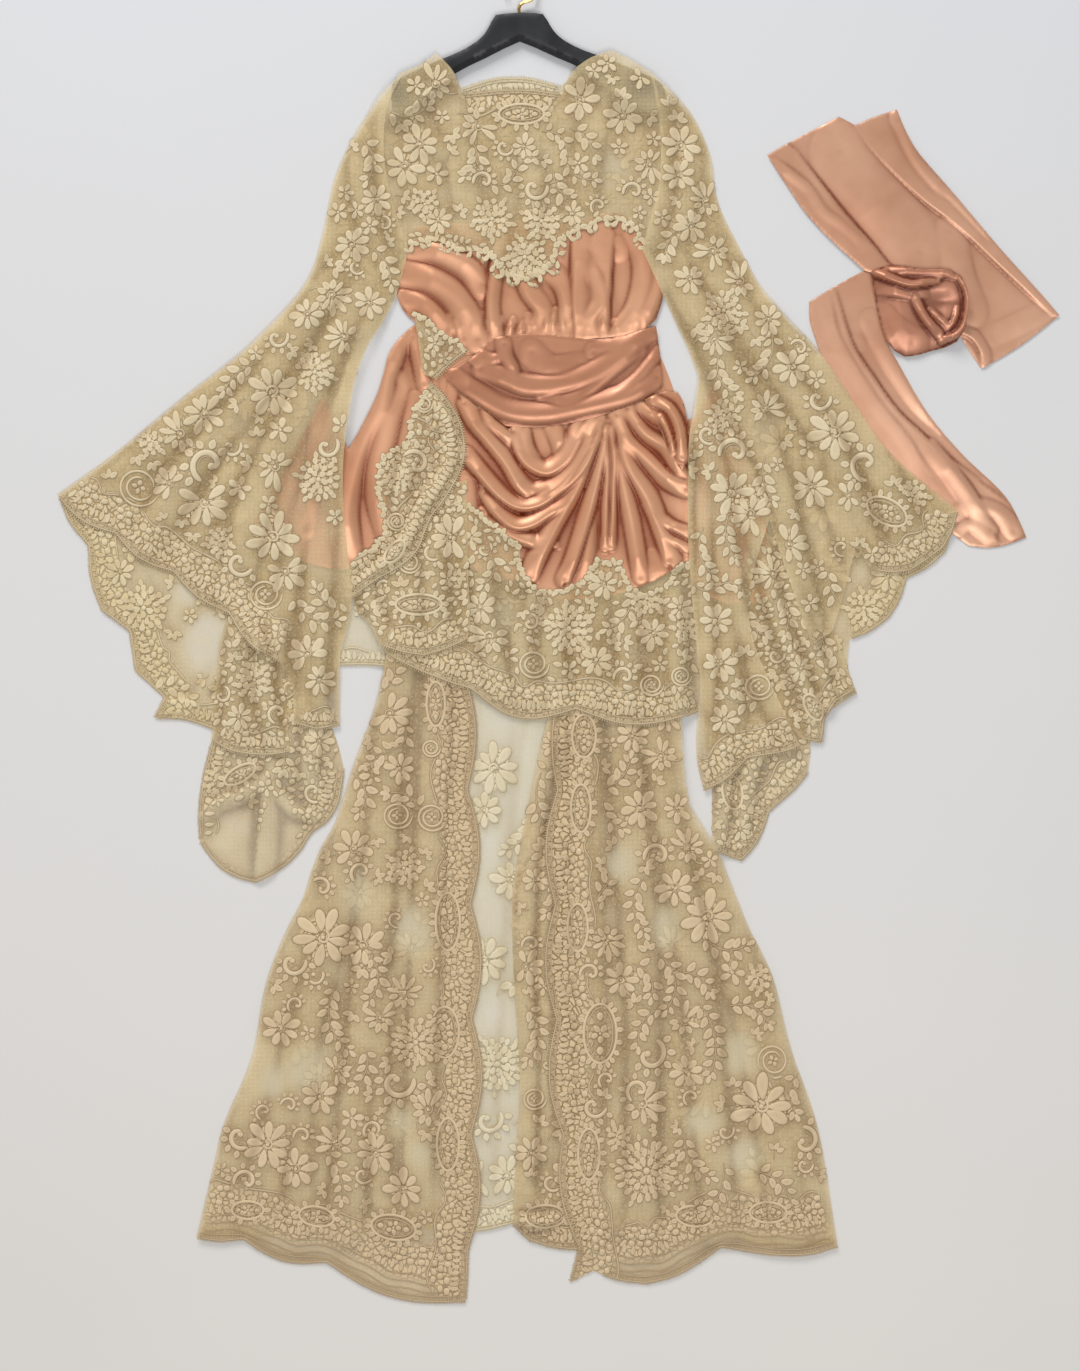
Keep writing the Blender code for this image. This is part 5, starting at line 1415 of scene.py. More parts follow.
class Trim:
    """The raised work of one lace piece, and the cells that it already takes up."""

    def __init__(self, laid, hidden):
        self.laid = laid
        self.draw = random.Random(laid.cloth.node)
        self.pads = []
        self.cords = []
        self.rows, self.columns = laid.rows, laid.columns
        self.taken = ~laid.inside | hidden[laid.rows, laid.columns]
        self.window, self.sheer, self.worked, self.packed = (
            np.zeros(self.taken.shape, bool) for _ in range(4)
        )

    def cell(self, across, down):
        row = int((down - GRID_DOWN) / CELL) - self.rows.start
        column = int((across - GRID_ACROSS) / CELL) - self.columns.start
        inside = 0 <= row < self.taken.shape[0] and 0 <= column < self.taken.shape[1]
        return (row, column) if inside else None

    def is_free(self, across, down):
        cell = self.cell(across, down)
        return cell is not None and not self.taken[cell]

    def fits(self, pad):
        """True where the pad's middle, tips and sides lie on free net."""
        cos, sin = math.cos(pad.turn), math.sin(pad.turn)
        ahead = (cos * pad.long * TIP_SHARE, sin * pad.long * TIP_SHARE)
        aside = (-sin * pad.wide * SIDE_SHARE, cos * pad.wide * SIDE_SHARE)
        return self.is_free(pad.across, pad.down) and all(
            self.is_free(pad.across + way * x, pad.down + way * y)
            for x, y in (ahead, aside) for way in (1, -1)
        )

    def take(self, across, down, long, wide, turn, mask):
        """Mark the cells of an oval."""
        reach = max(long, wide)
        low = self.cell(max(across - reach, GRID_ACROSS + self.columns.start * CELL),
                        max(down - reach, GRID_DOWN + self.rows.start * CELL))
        if low is None:
            return
        span = int(2 * reach / CELL) + 2
        rows = slice(low[0], min(low[0] + span, mask.shape[0]))
        columns = slice(low[1], min(low[1] + span, mask.shape[1]))
        x = np.arange(columns.start, columns.stop) + 0.5 + self.columns.start
        y = np.arange(rows.start, rows.stop) + 0.5 + self.rows.start
        x = GRID_ACROSS + x * CELL - across
        y = GRID_DOWN + y * CELL - down
        u = x[None, :] * math.cos(turn) + y[:, None] * math.sin(turn)
        v = y[:, None] * math.cos(turn) - x[None, :] * math.sin(turn)
        mask[rows, columns] |= (u / long) ** 2 + (v / wide) ** 2 < 1.0

    def add_pads(self, pads):
        for pad in pads:
            self.pads.append(pad)
            for mask, gap in ((self.taken, PAD_GAP), (self.worked, 0.0)):
                self.take(pad.across, pad.down, pad.long + gap, pad.wide + gap, pad.turn, mask)

    def add_fitting(self, pad):
        if self.fits(pad):
            self.add_pads([pad])

    def add_cord(self, cord):
        """Keep the stretches of a cord that lie on free net."""
        path = evenly(cord.path, 2.6 if cord.width < 3 else 3.2)
        free = np.array([self.is_free(*point) for point in path])
        start = None
        for i in range(len(path) + 1):
            on = i < len(path) and free[i]
            if on and start is None:
                start = i
            if not on and start is not None:
                if i - start > 2:
                    self.cords.append(cord._replace(path=path[start:i]))
                start = None
        return path[free] if free.any() else path[:0]

    def cover(self, path, reach, mask):
        """Mark the cells round each point of a path."""
        for point in path:
            self.take(*point, reach, reach, 0.0, mask)

    def reserve_cord(self, path, width):
        for mask in (self.taken, self.worked):
            self.cover(path, width / 2 + CORD_GAP, mask)

    def place(self, kind, across, down, size, turn, least):
        """Put a whole motif down if enough of it finds room."""
        pads, cords = kind(self.draw, size)
        cos, sin = math.cos(turn), math.sin(turn)
        moved = [
            pad._replace(
                across=across + pad.across * cos - pad.down * sin,
                down=down + pad.across * sin + pad.down * cos,
                turn=pad.turn + turn,
            )
            for pad in pads
        ]
        fitting = [pad for pad in moved if self.fits(pad)]
        if len(fitting) < least * len(moved):
            return False
        spin = np.array([[cos, sin], [-sin, cos]])
        kept = []
        for cord in cords:
            path = cord.path @ spin + (across, down)
            kept.append((self.add_cord(cord._replace(path=path)), cord.width))
        self.add_pads(fitting)
        for path, width in kept:
            self.reserve_cord(path, width)
        return True

    def fill(self, kind, least_size, most_size, apart, least):
        """Scatter one kind of motif over what is still free."""
        rows, columns = np.nonzero(~self.taken & ~self.window)
        if len(rows) == 0:
            return
        number = int(len(rows) * CELL ** 2 / apart ** 2 * FILL_TRIES) + 1
        for _ in range(number):
            i = self.draw.randrange(len(rows))
            across = GRID_ACROSS + (columns[i] + self.columns.start + self.draw.random()) * CELL
            down = GRID_DOWN + (rows[i] + self.rows.start + self.draw.random()) * CELL
            cell = self.cell(across, down)
            if cell is None or self.taken[cell] or self.window[cell]:
                continue
            size = self.draw.uniform(least_size, most_size)
            self.place(kind, across, down, size, self.draw.uniform(0.0, math.tau), least)

    def batches(self):
        """The pads of each shape, then each cord: places, lifts, shades, tones and triangles."""
        for shape, (points, lifts, shade, tris) in SHAPES.items():
            rows = [pad[1:] for pad in self.pads if pad.shape == shape]
            if not rows:
                continue
            across, down, turn, long, wide, bend, tone, lift = (
                np.array(column)[:, None] for column in zip(*rows)
            )
            u = points[:, 0] * long
            v = points[:, 1] * wide + bend * long * (points[:, 0] ** 2 - 0.4)
            spots = np.stack([
                across + u * np.cos(turn) - v * np.sin(turn),
                down + u * np.sin(turn) + v * np.cos(turn),
            ], axis=2).reshape(-1, 2)
            above = (lifts * lift * np.minimum(1.0, 0.45 + wide / 6.0)).ravel()
            start = np.arange(len(rows))[:, None, None] * len(points)
            yield (spots, above, np.tile(shade, len(rows)), np.repeat(tone.ravel(), len(points)),
                   (tris + start).reshape(-1, 3))
        for cord in self.cords:
            spots, above, shade, tris = cord_strip(cord)
            yield spots, above, shade, np.full(len(spots), cord.tone), tris

    def mesh(self, name):
        """All pads and cords as one object."""
        batches = list(self.batches())
        if not batches:
            return None
        starts = np.cumsum([0] + [len(batch[0]) for batch in batches[:-1]])
        faces = np.vstack([batch[4] + start for batch, start in zip(batches, starts)])
        spots, above, shade, tone = (np.concatenate(part) for part in list(zip(*batches))[:4])
        height = self.laid.at(spots) + NET_ABOVE + BASE_LIFT + above
        return mesh_object(name, metres(spots, height), faces, {
            "shade": shade, "tone": tone, "fold_light": self.laid.read(self.laid.fold_light, spots),
        })


def cord_strip(cord):
    """A half-round strip along a path, thinner at its two ends."""
    path = cord.path
    aside = square_to(path)
    # Shade 0 at the cord's edges paints its dark outline, partly the thread's brown and partly painted shade
    if cord.width > 3.0:
        offsets = np.array([-1.0, -0.62, 0.0, 0.62, 1.0])
        lifts = np.array([0.0, 0.8, 1.0, 0.8, 0.0])
        shade = np.array([0.0, 1.0, 0.9, 1.0, 0.0])
    else:
        offsets = np.array([-1.0, 0.0, 1.0])
        lifts = np.array([0.0, 1.0, 0.0])
        shade = np.array([0.1, 1.0, 0.1])
    number, across = len(path), len(offsets)
    place = np.linspace(0.0, 1.0, number)
    thin = np.minimum(1.0, 0.5 + 6.0 * np.minimum(place, 1 - place))
    if np.allclose(path[0], path[-1]):
        thin = 1.0
    half = cord.width / 2 * thin * np.ones(number)
    spots = path[:, None, :] + aside[:, None, :] * (offsets[None, :, None] * half[:, None, None])
    above = np.tile(lifts * cord.lift, number)
    faces = []
    for i in range(number - 1):
        for j in range(across - 1):
            a, b = i * across + j, (i + 1) * across + j
            faces += [(a, a + 1, b + 1), (a, b + 1, b)]
    return spots.reshape(-1, 2), above, np.tile(shade, number), np.array(faces)


CALM_DEPTH = 12.0


class EdgeRun:
    """A stretch of a piece's edge, with places measured along it and in from it."""

    def __init__(self, laid, *ends):
        outline = laid.outline
        start, via, end = (
            int(np.argmin(((outline - np.array(point)) ** 2).sum(axis=1))) for point in ends
        )
        count = len(outline)
        ahead = (np.arange(start, start + (end - start) % count + 1)) % count
        behind = (np.arange(start, start - (start - end) % count - 1, -1)) % count
        chosen = ahead if via in set(ahead.tolist()) else behind
        self.edge = evenly(outline[chosen], 3.0)
        self.calm = self.edge
        if len(self.edge) > 20:
            weights = np.ones(17) / 17.0
            wide = np.pad(self.edge, ((8, 8), (0, 0)), mode="edge")
            self.calm = np.column_stack([np.convolve(wide[:, i], weights, "valid") for i in range(2)])
        self.inward = square_to(self.calm)
        middle = len(self.edge) // 2
        probe = (self.calm[middle] + 6.0 * self.inward[middle])[None]
        if laid.read(np.asarray(laid.inside, float), probe)[0] <= 0.5:
            self.inward = -self.inward
        self.along = lengths_along(self.edge)
        self.length = self.along[-1]

    def at(self, distance, depth):
        """The place this far along the edge and this deep inside it."""
        distance, depth = np.broadcast_arrays(np.asarray(distance, float), np.asarray(depth, float))
        share = np.clip(depth / CALM_DEPTH, 0.0, 1.0)
        spot = []
        for i in range(2):
            edge = np.interp(distance, self.along, self.edge[:, i])
            calm = np.interp(distance, self.along, self.calm[:, i])
            inward = np.interp(distance, self.along, self.inward[:, i])
            spot.append(edge * (1 - share) + calm * share + inward * depth)
        return np.stack(spot, axis=-1)

    def line(self, depth, step=3.0, sway=0.0, pitch=40.0):
        """A line this deep inside the edge, straight or waved."""
        distance = np.arange(0.0, self.length, step)
        return self.at(distance, depth + sway * np.sin(distance / pitch * math.tau))

    def heading(self, distance):
        spot, after = self.at(distance, 0.0), self.at(min(distance + 2.0, self.length), 0.0)
        if np.allclose(spot, after):
            spot = self.at(distance - 2.0, 0.0)
        return math.atan2(after[1] - spot[1], after[0] - spot[0])

    def pad(self, distance, spot, shape, quarters, turn, long, wide, tone, lift=PAD_LIFT):
        """A pad turned by some quarters, and a little more, from the way the edge runs here."""
        turned = self.heading(distance) + quarters * math.pi / 2 + turn
        return Pad(shape, spot[0], spot[1], turned, long, wide, 0.0, tone, lift)


HEM_CORDS = (13.0, 22.0, 31.0)


def add_applique(trim, run, band):
    """A free edge of petals and leaves on a cord, with sprigs that hang over a wide one."""
    draw = trim.draw
    trim.cords.append(Cord(run.line(1.4), 1.8, 0.85))
    for distance in np.arange(3.0, run.length, 7.0):
        spot = run.at(distance + draw.uniform(-1.5, 1.5), draw.uniform(0.5, 5.0))
        trim.add_pads([run.pad(
            distance, spot, draw.choice(("petal", "leaf", "leaflet")), -1, draw.uniform(-1.3, 1.3),
            draw.uniform(4.5, 6.8), draw.uniform(3.4, 4.6), draw.uniform(0.4, 1.0),
        )])
    for distance in np.arange(4.0, run.length, 9.0):
        trim.place(single_leaf, *run.at(distance, 12.0), 12.0, draw.uniform(0, math.tau), 1.0)
    if band <= 12.0:
        return
    for distance in np.arange(8.0, run.length, 26.0):
        for over, aside, turn in ((4.0, -6.0, 0.5), (5.0, 6.0, -0.5), (11.0, 0.0, 0.0)):
            spot = run.at(distance + aside + draw.uniform(-2.0, 2.0), -over)
            trim.add_pads([run.pad(
                distance, spot, "petal", -1, turn, draw.uniform(5.0, 6.6), draw.uniform(3.6, 4.4),
                draw.uniform(0.4, 1.0),
            )])


def add_border(trim, start, via, end, band, kind):
    """Corded and laddered edge, a row of fan petals, cobbles, and a waved inner cord."""
    run = EdgeRun(trim.laid, start, via, end)
    draw = trim.draw
    if kind == "applique":
        add_applique(trim, run, band)
        return
    for distance in np.arange(1.0, run.length, 3.1):
        trim.pads.append(run.pad(
            distance, run.at(distance, -0.5), "bar", 1, 0.0, draw.uniform(1.0, 1.9), 0.8,
            draw.uniform(0.3, 0.9), 0.7,
        ))
    trim.cords.append(Cord(run.line(1.2), 2.2, 0.9))
    ladder = 7.5 if kind in ("scallop", "hem") else 4.5
    trim.cords.append(Cord(run.line(ladder), 1.8, 0.85))
    for distance in np.arange(1.5, run.length, 3.3):
        trim.pads.append(run.pad(
            distance, run.at(distance, 0.5 * (1.2 + ladder)), "bar", 1, 0.0, 0.5 * ladder - 1.0, 0.75,
            draw.uniform(0.5, 0.9), 0.8,
        ))
    trim.reserve_cord(run.line(0.5 * ladder, step=2.0), ladder + 2.2)
    if kind == "hem":
        for depth in HEM_CORDS:
            trim.cords.append(Cord(run.line(depth, sway=1.6, pitch=60.0), 1.3, 0.6))
        for depth in np.arange(8.0, HEM_CORDS[-1], 4.0):
            trim.cover(run.line(depth), 2.6, trim.taken)
        ladder = HEM_CORDS[-1]
    if band > ladder + 8:
        for distance in np.arange(3.0, run.length, 7.4):
            fan = 5.0 + 2.2 * abs(math.sin(distance / 64.0 * math.pi))
            trim.add_fitting(run.pad(
                distance, run.at(distance, ladder + fan + 1.6), "petal", -1, draw.uniform(-0.15, 0.15),
                fan, 3.6, draw.uniform(0.4, 1.0),
            ))
        inner = run.line(band, step=2.6, sway=4.0, pitch=64.0)
        trim.reserve_cord(trim.add_cord(Cord(inner, 3.0, 0.95)), 3.0)
    for depth in np.arange(ladder - 6.0, band, 4.0):
        trim.cover(run.line(depth, step=4.0), 3.0, trim.packed)
    depth = ladder + 17.0
    row = 0
    while depth < band - 2.0:
        for distance in np.arange(3.0 + 4.8 * (row % 2), run.length, 9.6):
            spot = run.at(distance + draw.uniform(-1.0, 1.0), depth + draw.uniform(-0.9, 0.9))
            trim.add_fitting(run.pad(
                distance, spot, "cobble", 0, draw.uniform(-0.35, 0.35), draw.uniform(4.5, 5.2),
                draw.uniform(3.8, 4.4), draw.uniform(0.35, 1.0),
            ))
        depth += 8.6
        row += 1


# What fills the free net: kind, least and greatest size, how far apart, the share of it that
# must find room, and how full a piece has to be for it

FILLS = (
    (bloom, 54.0, 70.0, 90.0, 0.72, 0.0),
    (fan_bloom, 54.0, 72.0, 74.0, 0.72, 0.0),
    (vine, 60.0, 90.0, 84.0, 0.74, 0.5),
    (spray, 44.0, 62.0, 56.0, 0.74, 0.0),
    (scroll, 26.0, 34.0, 62.0, 0.80, 0.5),
    (rose, 32.0, 44.0, 66.0, 0.80, 0.5),
    (blossom, 20.0, 27.0, 38.0, 0.90, 0.5),
    (trefoil, 20.0, 28.0, 26.0, 0.99, 0.5),
    (single_leaf, 11.0, 16.0, 13.0, 0.99, 0.8),
    (bead, 7.0, 10.0, 10.0, 0.99, 0.9),
)


def lace_work(name, laid, hidden):
    """All the raised work of one lace piece, as one mesh."""
    trim = Trim(laid, hidden)
    for across, down, wide, tall, *plain in WINDOWS.get(name, ()):
        for mask in [trim.window] if plain else [trim.window, trim.sheer]:
            trim.take(across, down, wide / 2, tall / 2, 0.0, mask)
    for kind, across, down, size, turn in MOTIFS.get(name, ()):
        trim.place(kind, across, down, size, math.radians(turn), MOTIF_ROOM)
    for row in BORDERS.get(name, ()):
        add_border(trim, *row)
    trim.taken |= trim.window
    fullness = laid.cloth.fullness
    for kind, least, most, apart, room, needed in FILLS:
        if fullness >= needed:
            trim.fill(kind, least, most, apart / math.sqrt(fullness), room)
    # dense: where raised work lies, which the net finish paints darker, partly as painted shade between the raised
    # work
    laid.dense = softened(trim.worked, 5)
    # open: where the net is bare and sheer, which the net finish lets through more and paints lighter as painted light
    laid.open = softened(trim.sheer, 4)
    laid.packed = softened(trim.packed & ~trim.window, 2)
    return trim.mesh(name + "_work")


level = np.zeros((GRID_ROWS, GRID_COLUMNS))
laid_pieces = {}
for cloth in UNDER_HANGER:
    laid_pieces[cloth.node] = Laid(cloth, level)

# The hanger lies on the back layers

HANGER_GAP = 0.35
HANGER_BEVEL = 7.5
BEVEL_DROP = 4.5
ROUND_REACH = 1.5
ROUND_DROP = 1.2
HANGER_TIP = 489.0
TIP_ROUND = 9.0
hanger_outline = eased(node_outline("hanger_body"), 4.0)
beyond = hanger_outline[:, 0] - HANGER_TIP
hanger_outline[:, 0] = HANGER_TIP + 0.5 * (beyond + np.hypot(beyond, TIP_ROUND))
hanger_rows, hanger_columns = cells_round(hanger_outline, 4 * CELL)
hanger_inside = widened(filled(hanger_outline, hanger_rows, hanger_columns)) > 0
hanger_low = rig.box("hanger_body")[0][2] / METRE
hanger_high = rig.box("hanger_body")[1][2] / METRE
level[hanger_rows, hanger_columns][hanger_inside] = hanger_high + HANGER_GAP
for cloth in OVER_HANGER:
    laid_pieces[cloth.node] = Laid(cloth, level)

# Finishes. Effects that several of them share are node groups

def tint(red, green, blue):
    """A colour as it is seen, 0 to 255, as the shader's linear colour."""
    def linear(value):
        value /= 255.0
        return value / 12.92 if value <= 0.04045 else ((value + 0.055) / 1.055) ** 2.4
    return (linear(red), linear(green), linear(blue), 1.0)


class Nodes:
    """A node tree and short ways to add to it. A value is plain or another node's socket."""

    def __init__(self, tree):
        self.tree = tree

    def join(self, value, socket):
        if isinstance(value, bpy.types.NodeSocket):
            self.tree.links.new(value, socket)
        else:
            socket.default_value = value

    def add(self, kind, values, out=0, **settings):
        """One more node. Returns the socket that it puts out."""
        made = self.tree.nodes.new("ShaderNode" + kind)
        for label, value in settings.items():
            setattr(made, label, value)
        for label, value in values.items():
            self.join(value, made.inputs[label])
        return made.outputs[out]

    def math(self, operation, first, second, clamp=False):
        return self.add("Math", {0: first, 1: second}, operation=operation, use_clamp=clamp)

    def times(self, first, second, clamp=False):
        return self.math("MULTIPLY", first, second, clamp)

    def plus(self, first, second, clamp=False):
        return self.math("ADD", first, second, clamp)

    def highest(self, first, second):
        return self.math("MAXIMUM", first, second)

    def ranged(self, value, low, high, start=0.0, end=1.0, kind="LINEAR"):
        """The value's way from low to high, as one from start to end."""
        return self.add("MapRange", {
            "Value": value, "From Min": low, "From Max": high, "To Min": start, "To Max": end,
        }, "Result", interpolation_type=kind)

    def mixed(self, share, first, second):
        """Two colours mixed. A plain one is as it is seen, 0 to 255."""
        made = self.tree.nodes.new("ShaderNodeMix")
        made.data_type = "RGBA"
        values = (("Factor", "VALUE", share), ("A", "RGBA", first), ("B", "RGBA", second))
        for label, kind, value in values:
            socket = next(s for s in made.inputs if s.name == label and s.type == kind)
            self.join(tint(*value) if isinstance(value, tuple) else value, socket)
        return next(s for s in made.outputs if s.type == "RGBA")

    def noise(self, scale, detail, out="Fac"):
        return self.add("TexNoise", {
            "Vector": self.place(), "Scale": scale, "Detail": detail,
        }, out)

    def cells(self, place, scale, uneven, feature):
        """How far each place is from its cell's edge, or from its heart."""
        return self.add("TexVoronoi", {
            "Vector": place, "Scale": scale, "Randomness": uneven,
        }, "Distance", voronoi_dimensions="2D", feature=feature)

    def place(self):
        return self.add("TexCoord", {}, "Object")

    def read(self, name):
        """A value that the mesh keeps at its points."""
        return self.add("Attribute", {}, "Fac", attribute_name=name)

    def use(self, group, **values):
        """A shared effect with its own values. Returns all that it puts out."""
        made = self.tree.nodes.new("ShaderNodeGroup")
        made.node_tree = group
        for label, value in values.items():
            made.inputs[label].default_value = value
        return made.outputs

    def patches(self, scale):
        return self.use(MOTTLE, Scale=scale)["Value"]


class Effect(Nodes):
    """A shader group with named outputs and inputs, all numbers."""

    def __init__(self, name, outputs, **inputs):
        super().__init__(bpy.data.node_groups.new(name, "ShaderNodeTree"))
        for way, labels in (("INPUT", inputs), ("OUTPUT", outputs)):
            for label in labels:
                self.tree.interface.new_socket(label, in_out=way, socket_type="NodeSocketFloat")
        for socket in self.tree.interface.items_tree:
            if socket.in_out == "INPUT":
                socket.default_value = inputs[socket.name]
        self.given = self.tree.nodes.new("NodeGroupInput").outputs
        self.result = self.tree.nodes.new("NodeGroupOutput").inputs

    def give(self, **outputs):
        """Puts the values out. Returns the finished group."""
        for label, value in outputs.items():
            self.tree.links.new(value, self.result[label])
        return self.tree


def mottle():
    """Slow uneven patches, from 0 to 1."""
    made = Effect("cloth_mottle", ["Value"], Scale=12.0)
    noise = made.add("TexNoise", {
        "Vector": made.place(), "Scale": made.given["Scale"], "Detail": 3.0, "Roughness": 0.55,
    }, "Fac")
    return made.give(Value=made.ranged(noise, 0.3, 0.7))


def fold_tone():
    """Painted fold light: how much painted shade a place takes in a fold's valley, and how much painted highlight on
    its crest.
    """
    made = Effect("fold_tone", ["Valley", "Crest"], Strength=1.0)
    fold_light = made.times(made.read("fold_light"), made.given["Strength"])
    return made.give(Valley=made.highest(fold_light, 0.0), Crest=made.highest(made.times(fold_light, -1.0), 0.0))


def weave():
    """Over and under threads along two directions: a height, and each thread's own shade."""
    made = Effect("thread_weave", ["Height", "Shade"], Threads=1600.0, Tilt=0.0)
    threads = made.given["Threads"]
    turned = made.add("VectorRotate", {
        "Vector": made.place(), "Angle": made.given["Tilt"],
    }, rotation_type="Z_AXIS")
    waves = []
    for way, turns, size in (("X", math.tau, 0.35), ("Y", math.tau * 0.5, 0.15)):
        along = made.times(made.add("SeparateXYZ", {"Vector": turned}, way), threads)
        waves.append(made.times(made.math("SINE", made.times(along, turns), 0.0), size))
    return made.give(Height=made.plus(*waves), Shade=made.noise(threads, 1.0))


def net_cells():
    """Round holes between knotted threads, and tiny woven dots: how much there is of each."""
    made = Effect("net_cells", ["Thread", "Dot"], Cells=620.0)
    flat = made.add("Mapping", {"Vector": made.place(), "Scale": (1.0, 1.0, 0.0)})
    holes = made.cells(flat, made.given["Cells"], 0.35, "DISTANCE_TO_EDGE")
    spots = made.cells(flat, 150.0, 0.65, "F1")
    return made.give(
        Thread=made.ranged(holes, 0.05, 0.26, 1.0, 0.0, "SMOOTHSTEP"),
        Dot=made.ranged(spots, 0.09, 0.17, 1.0, 0.0, "SMOOTHSTEP"),
    )


def cobbles():
    """Uneven padded cells packed close: 1 on a pad, 0 in the thin gaps between."""
    made = Effect("packed_cobbles", ["Pad"], Scale=125.0)
    sway = made.add("VectorMath", {
        0: made.noise(90.0, 1.0, "Color"), 1: (0.008, 0.008, 0.0),
    }, operation="MULTIPLY")
    bent = made.add("VectorMath", {0: made.place(), 1: sway}, operation="ADD")
    cells = made.cells(bent, made.given["Scale"], 0.9, "DISTANCE_TO_EDGE")
    return made.give(Pad=made.ranged(cells, 0.03, 0.16, kind="SMOOTHSTEP"))


MOTTLE = mottle()
PAINTED_FOLD_LIGHT = fold_tone()
WEAVE = weave()
NET_CELLS = net_cells()
COBBLES = cobbles()


class Finish(Nodes):
    """A material whose surface is fed by its own nodes."""

    def __init__(self, name):
        self.material = bpy.data.materials.new(name)
        self.material.use_nodes = True
        super().__init__(self.material.node_tree)
        self.tree.nodes.clear()
        output = self.tree.nodes.new("ShaderNodeOutputMaterial")
        shader = self.tree.nodes.new("ShaderNodeBsdfPrincipled")
        self.tree.links.new(shader.outputs[0], output.inputs["Surface"])
        self.inputs = shader.inputs

    def feed(self, label, value):
        self.join(value, self.inputs[label])

    def bump(self, height, strength, distance):
        self.feed("Normal", self.add("Bump", {
            "Height": height, "Strength": strength, "Distance": distance,
        }, "Normal"))

    def matte(self, roughness, gloss):
        self.feed("Roughness", roughness)
        self.feed("Specular IOR Level", gloss)


def satin_finish(name, colour, deep, crease_shade_colour, roughness, tilt):
    """Smooth glossy cloth: fine threads, slow changes of colour, gloss in its own colour, and painted shade in its
    creases and hollows.
    """
    satin = Finish(name)
    threads = satin.use(WEAVE, Threads=1500.0, Tilt=tilt)
    share = satin.plus(satin.times(satin.patches(9.0), 0.6), satin.times(threads["Shade"], 0.12))
    cloth = satin.mixed(share, colour, deep)
    satin.feed("Base Color", satin.mixed(satin.read("crease_shade"), cloth, crease_shade_colour))
    satin.feed("Roughness", satin.plus(satin.times(satin.patches(60.0), 0.06), roughness))
    satin.bump(threads["Height"], 0.10, 0.0002)
    satin.feed("Metallic", 0.35)
    satin.feed("Specular IOR Level", 0.7)
    return satin.material


def net_finish(name, light, deep, padded, folded, thread, hole, painted_window_light):
    """Fine see-through net with tiny dots. Darker in thick work: partly its own thread, partly painted shade between
    the raised work. Painted shade in fold valleys, painted highlight on crests. Sheerer where it is bare, and painted
    lighter there for the lit floor seen through it.
    """
    net = Finish(name)
    cells = net.use(NET_CELLS, Cells=620.0)
    patches = net.patches(14.0)
    # Darker where raised work is dense: partly the net's own colour, partly painted shade between the raised work
    dense = net.read("dense")
    depth = net.plus(net.times(dense, 0.9), net.times(patches, 0.45), clamp=True)
    ground = net.mixed(depth, light, deep)
    # Painted shade in fold valleys, in the fold shade colour, and painted highlight on crests, in the light colour
    tone = net.use(PAINTED_FOLD_LIGHT, Strength=0.62)
    ground = net.mixed(tone["Valley"], ground, folded)
    ground = net.mixed(tone["Crest"], ground, light)
    # Painted light: bare net is painted near white for the lit floor seen through it, and is also let through more
    bare = net.times(net.read("open"), net.plus(patches, 0.45), clamp=True)
    ground = net.mixed(net.times(bare, painted_window_light), ground, (253, 240, 204))
    dots = net.times(cells["Dot"], 0.6)
    ground = net.mixed(dots, ground, (244, 230, 196))
    thick = net.highest(net.read("packed"), net.ranged(dense, 0.55, 0.8))
    pads = net.times(thick, net.use(COBBLES)["Pad"])
    net.feed("Base Color", net.mixed(pads, ground, padded))
    cover = net.ranged(cells["Thread"], 0.0, 1.0, hole, thread)
    cover = net.times(cover, net.math("SUBTRACT", 1.0, net.times(bare, 0.38)))
    cover = net.highest(cover, net.times(dots, 0.9))
    net.feed("Alpha", net.highest(cover, pads))
    net.bump(net.plus(net.times(cells["Thread"], 0.15), pads), 0.8, 0.0011)
    net.matte(0.9, 0.2)
    return net.material


def thread_finish(name, light, deep, gap):
    """Corded cotton, matte: light on its cords; dark in the gaps round each pad, partly its own brown outline and
    partly painted shade.
    """
    cotton = Finish(name)
    cream = cotton.mixed(cotton.read("tone"), deep, light)
    cream = cotton.mixed(cotton.times(cotton.patches(25.0), 0.35), cream, deep)
    # Painted shade in fold valleys, in the gap colour, and painted highlight on crests, in the light colour
    folds = cotton.use(PAINTED_FOLD_LIGHT, Strength=0.4)
    cream = cotton.mixed(folds["Valley"], cream, gap)
    cream = cotton.mixed(folds["Crest"], cream, light)
    cotton.feed("Base Color", cotton.mixed(cotton.read("shade"), gap, cream))
    cotton.bump(cotton.use(WEAVE, Threads=900.0, Tilt=0.5)["Height"], 0.35, 0.0003)
    cotton.matte(0.85, 0.25)
    return cotton.material


def plastic_finish():
    """Black moulded plastic with a faint pebbled skin and slightly dusty patches."""
    plastic = Finish("black_moulded_plastic")
    patches = plastic.patches(30.0)
    plastic.feed("Base Color", plastic.mixed(patches, (30, 31, 35), (42, 43, 48)))
    plastic.bump(plastic.noise(1400.0, 2.0), 0.1, 0.0002)
    plastic.feed("Roughness", plastic.plus(plastic.times(patches, 0.12), 0.36))
    return plastic.material


def brass_finish():
    """Brass-coloured wire, a little dulled in patches."""
    wire = Finish("brass_wire")
    patches = wire.patches(90.0)
    wire.feed("Base Color", wire.mixed(patches, (226, 190, 120), (190, 150, 84)))
    wire.feed("Roughness", wire.plus(wire.times(patches, 0.14), 0.22))
    wire.feed("Metallic", 1.0)
    return wire.material


def floor_finish():
    """Matte pale floor, a little warmer towards the hem."""
    pale = Finish("pale_floor")
    down = pale.ranged(pale.add("SeparateXYZ", {"Vector": pale.place()}, "Y"), 0.9, -0.9)
    slow = pale.mixed(down, (232, 234, 239), (237, 233, 228))
    share = pale.times(pale.patches(2.0), 0.3)
    pale.feed("Base Color", pale.mixed(share, slow, (229, 229, 229)))
    pale.feed("Roughness", 0.9)
    return pale.material


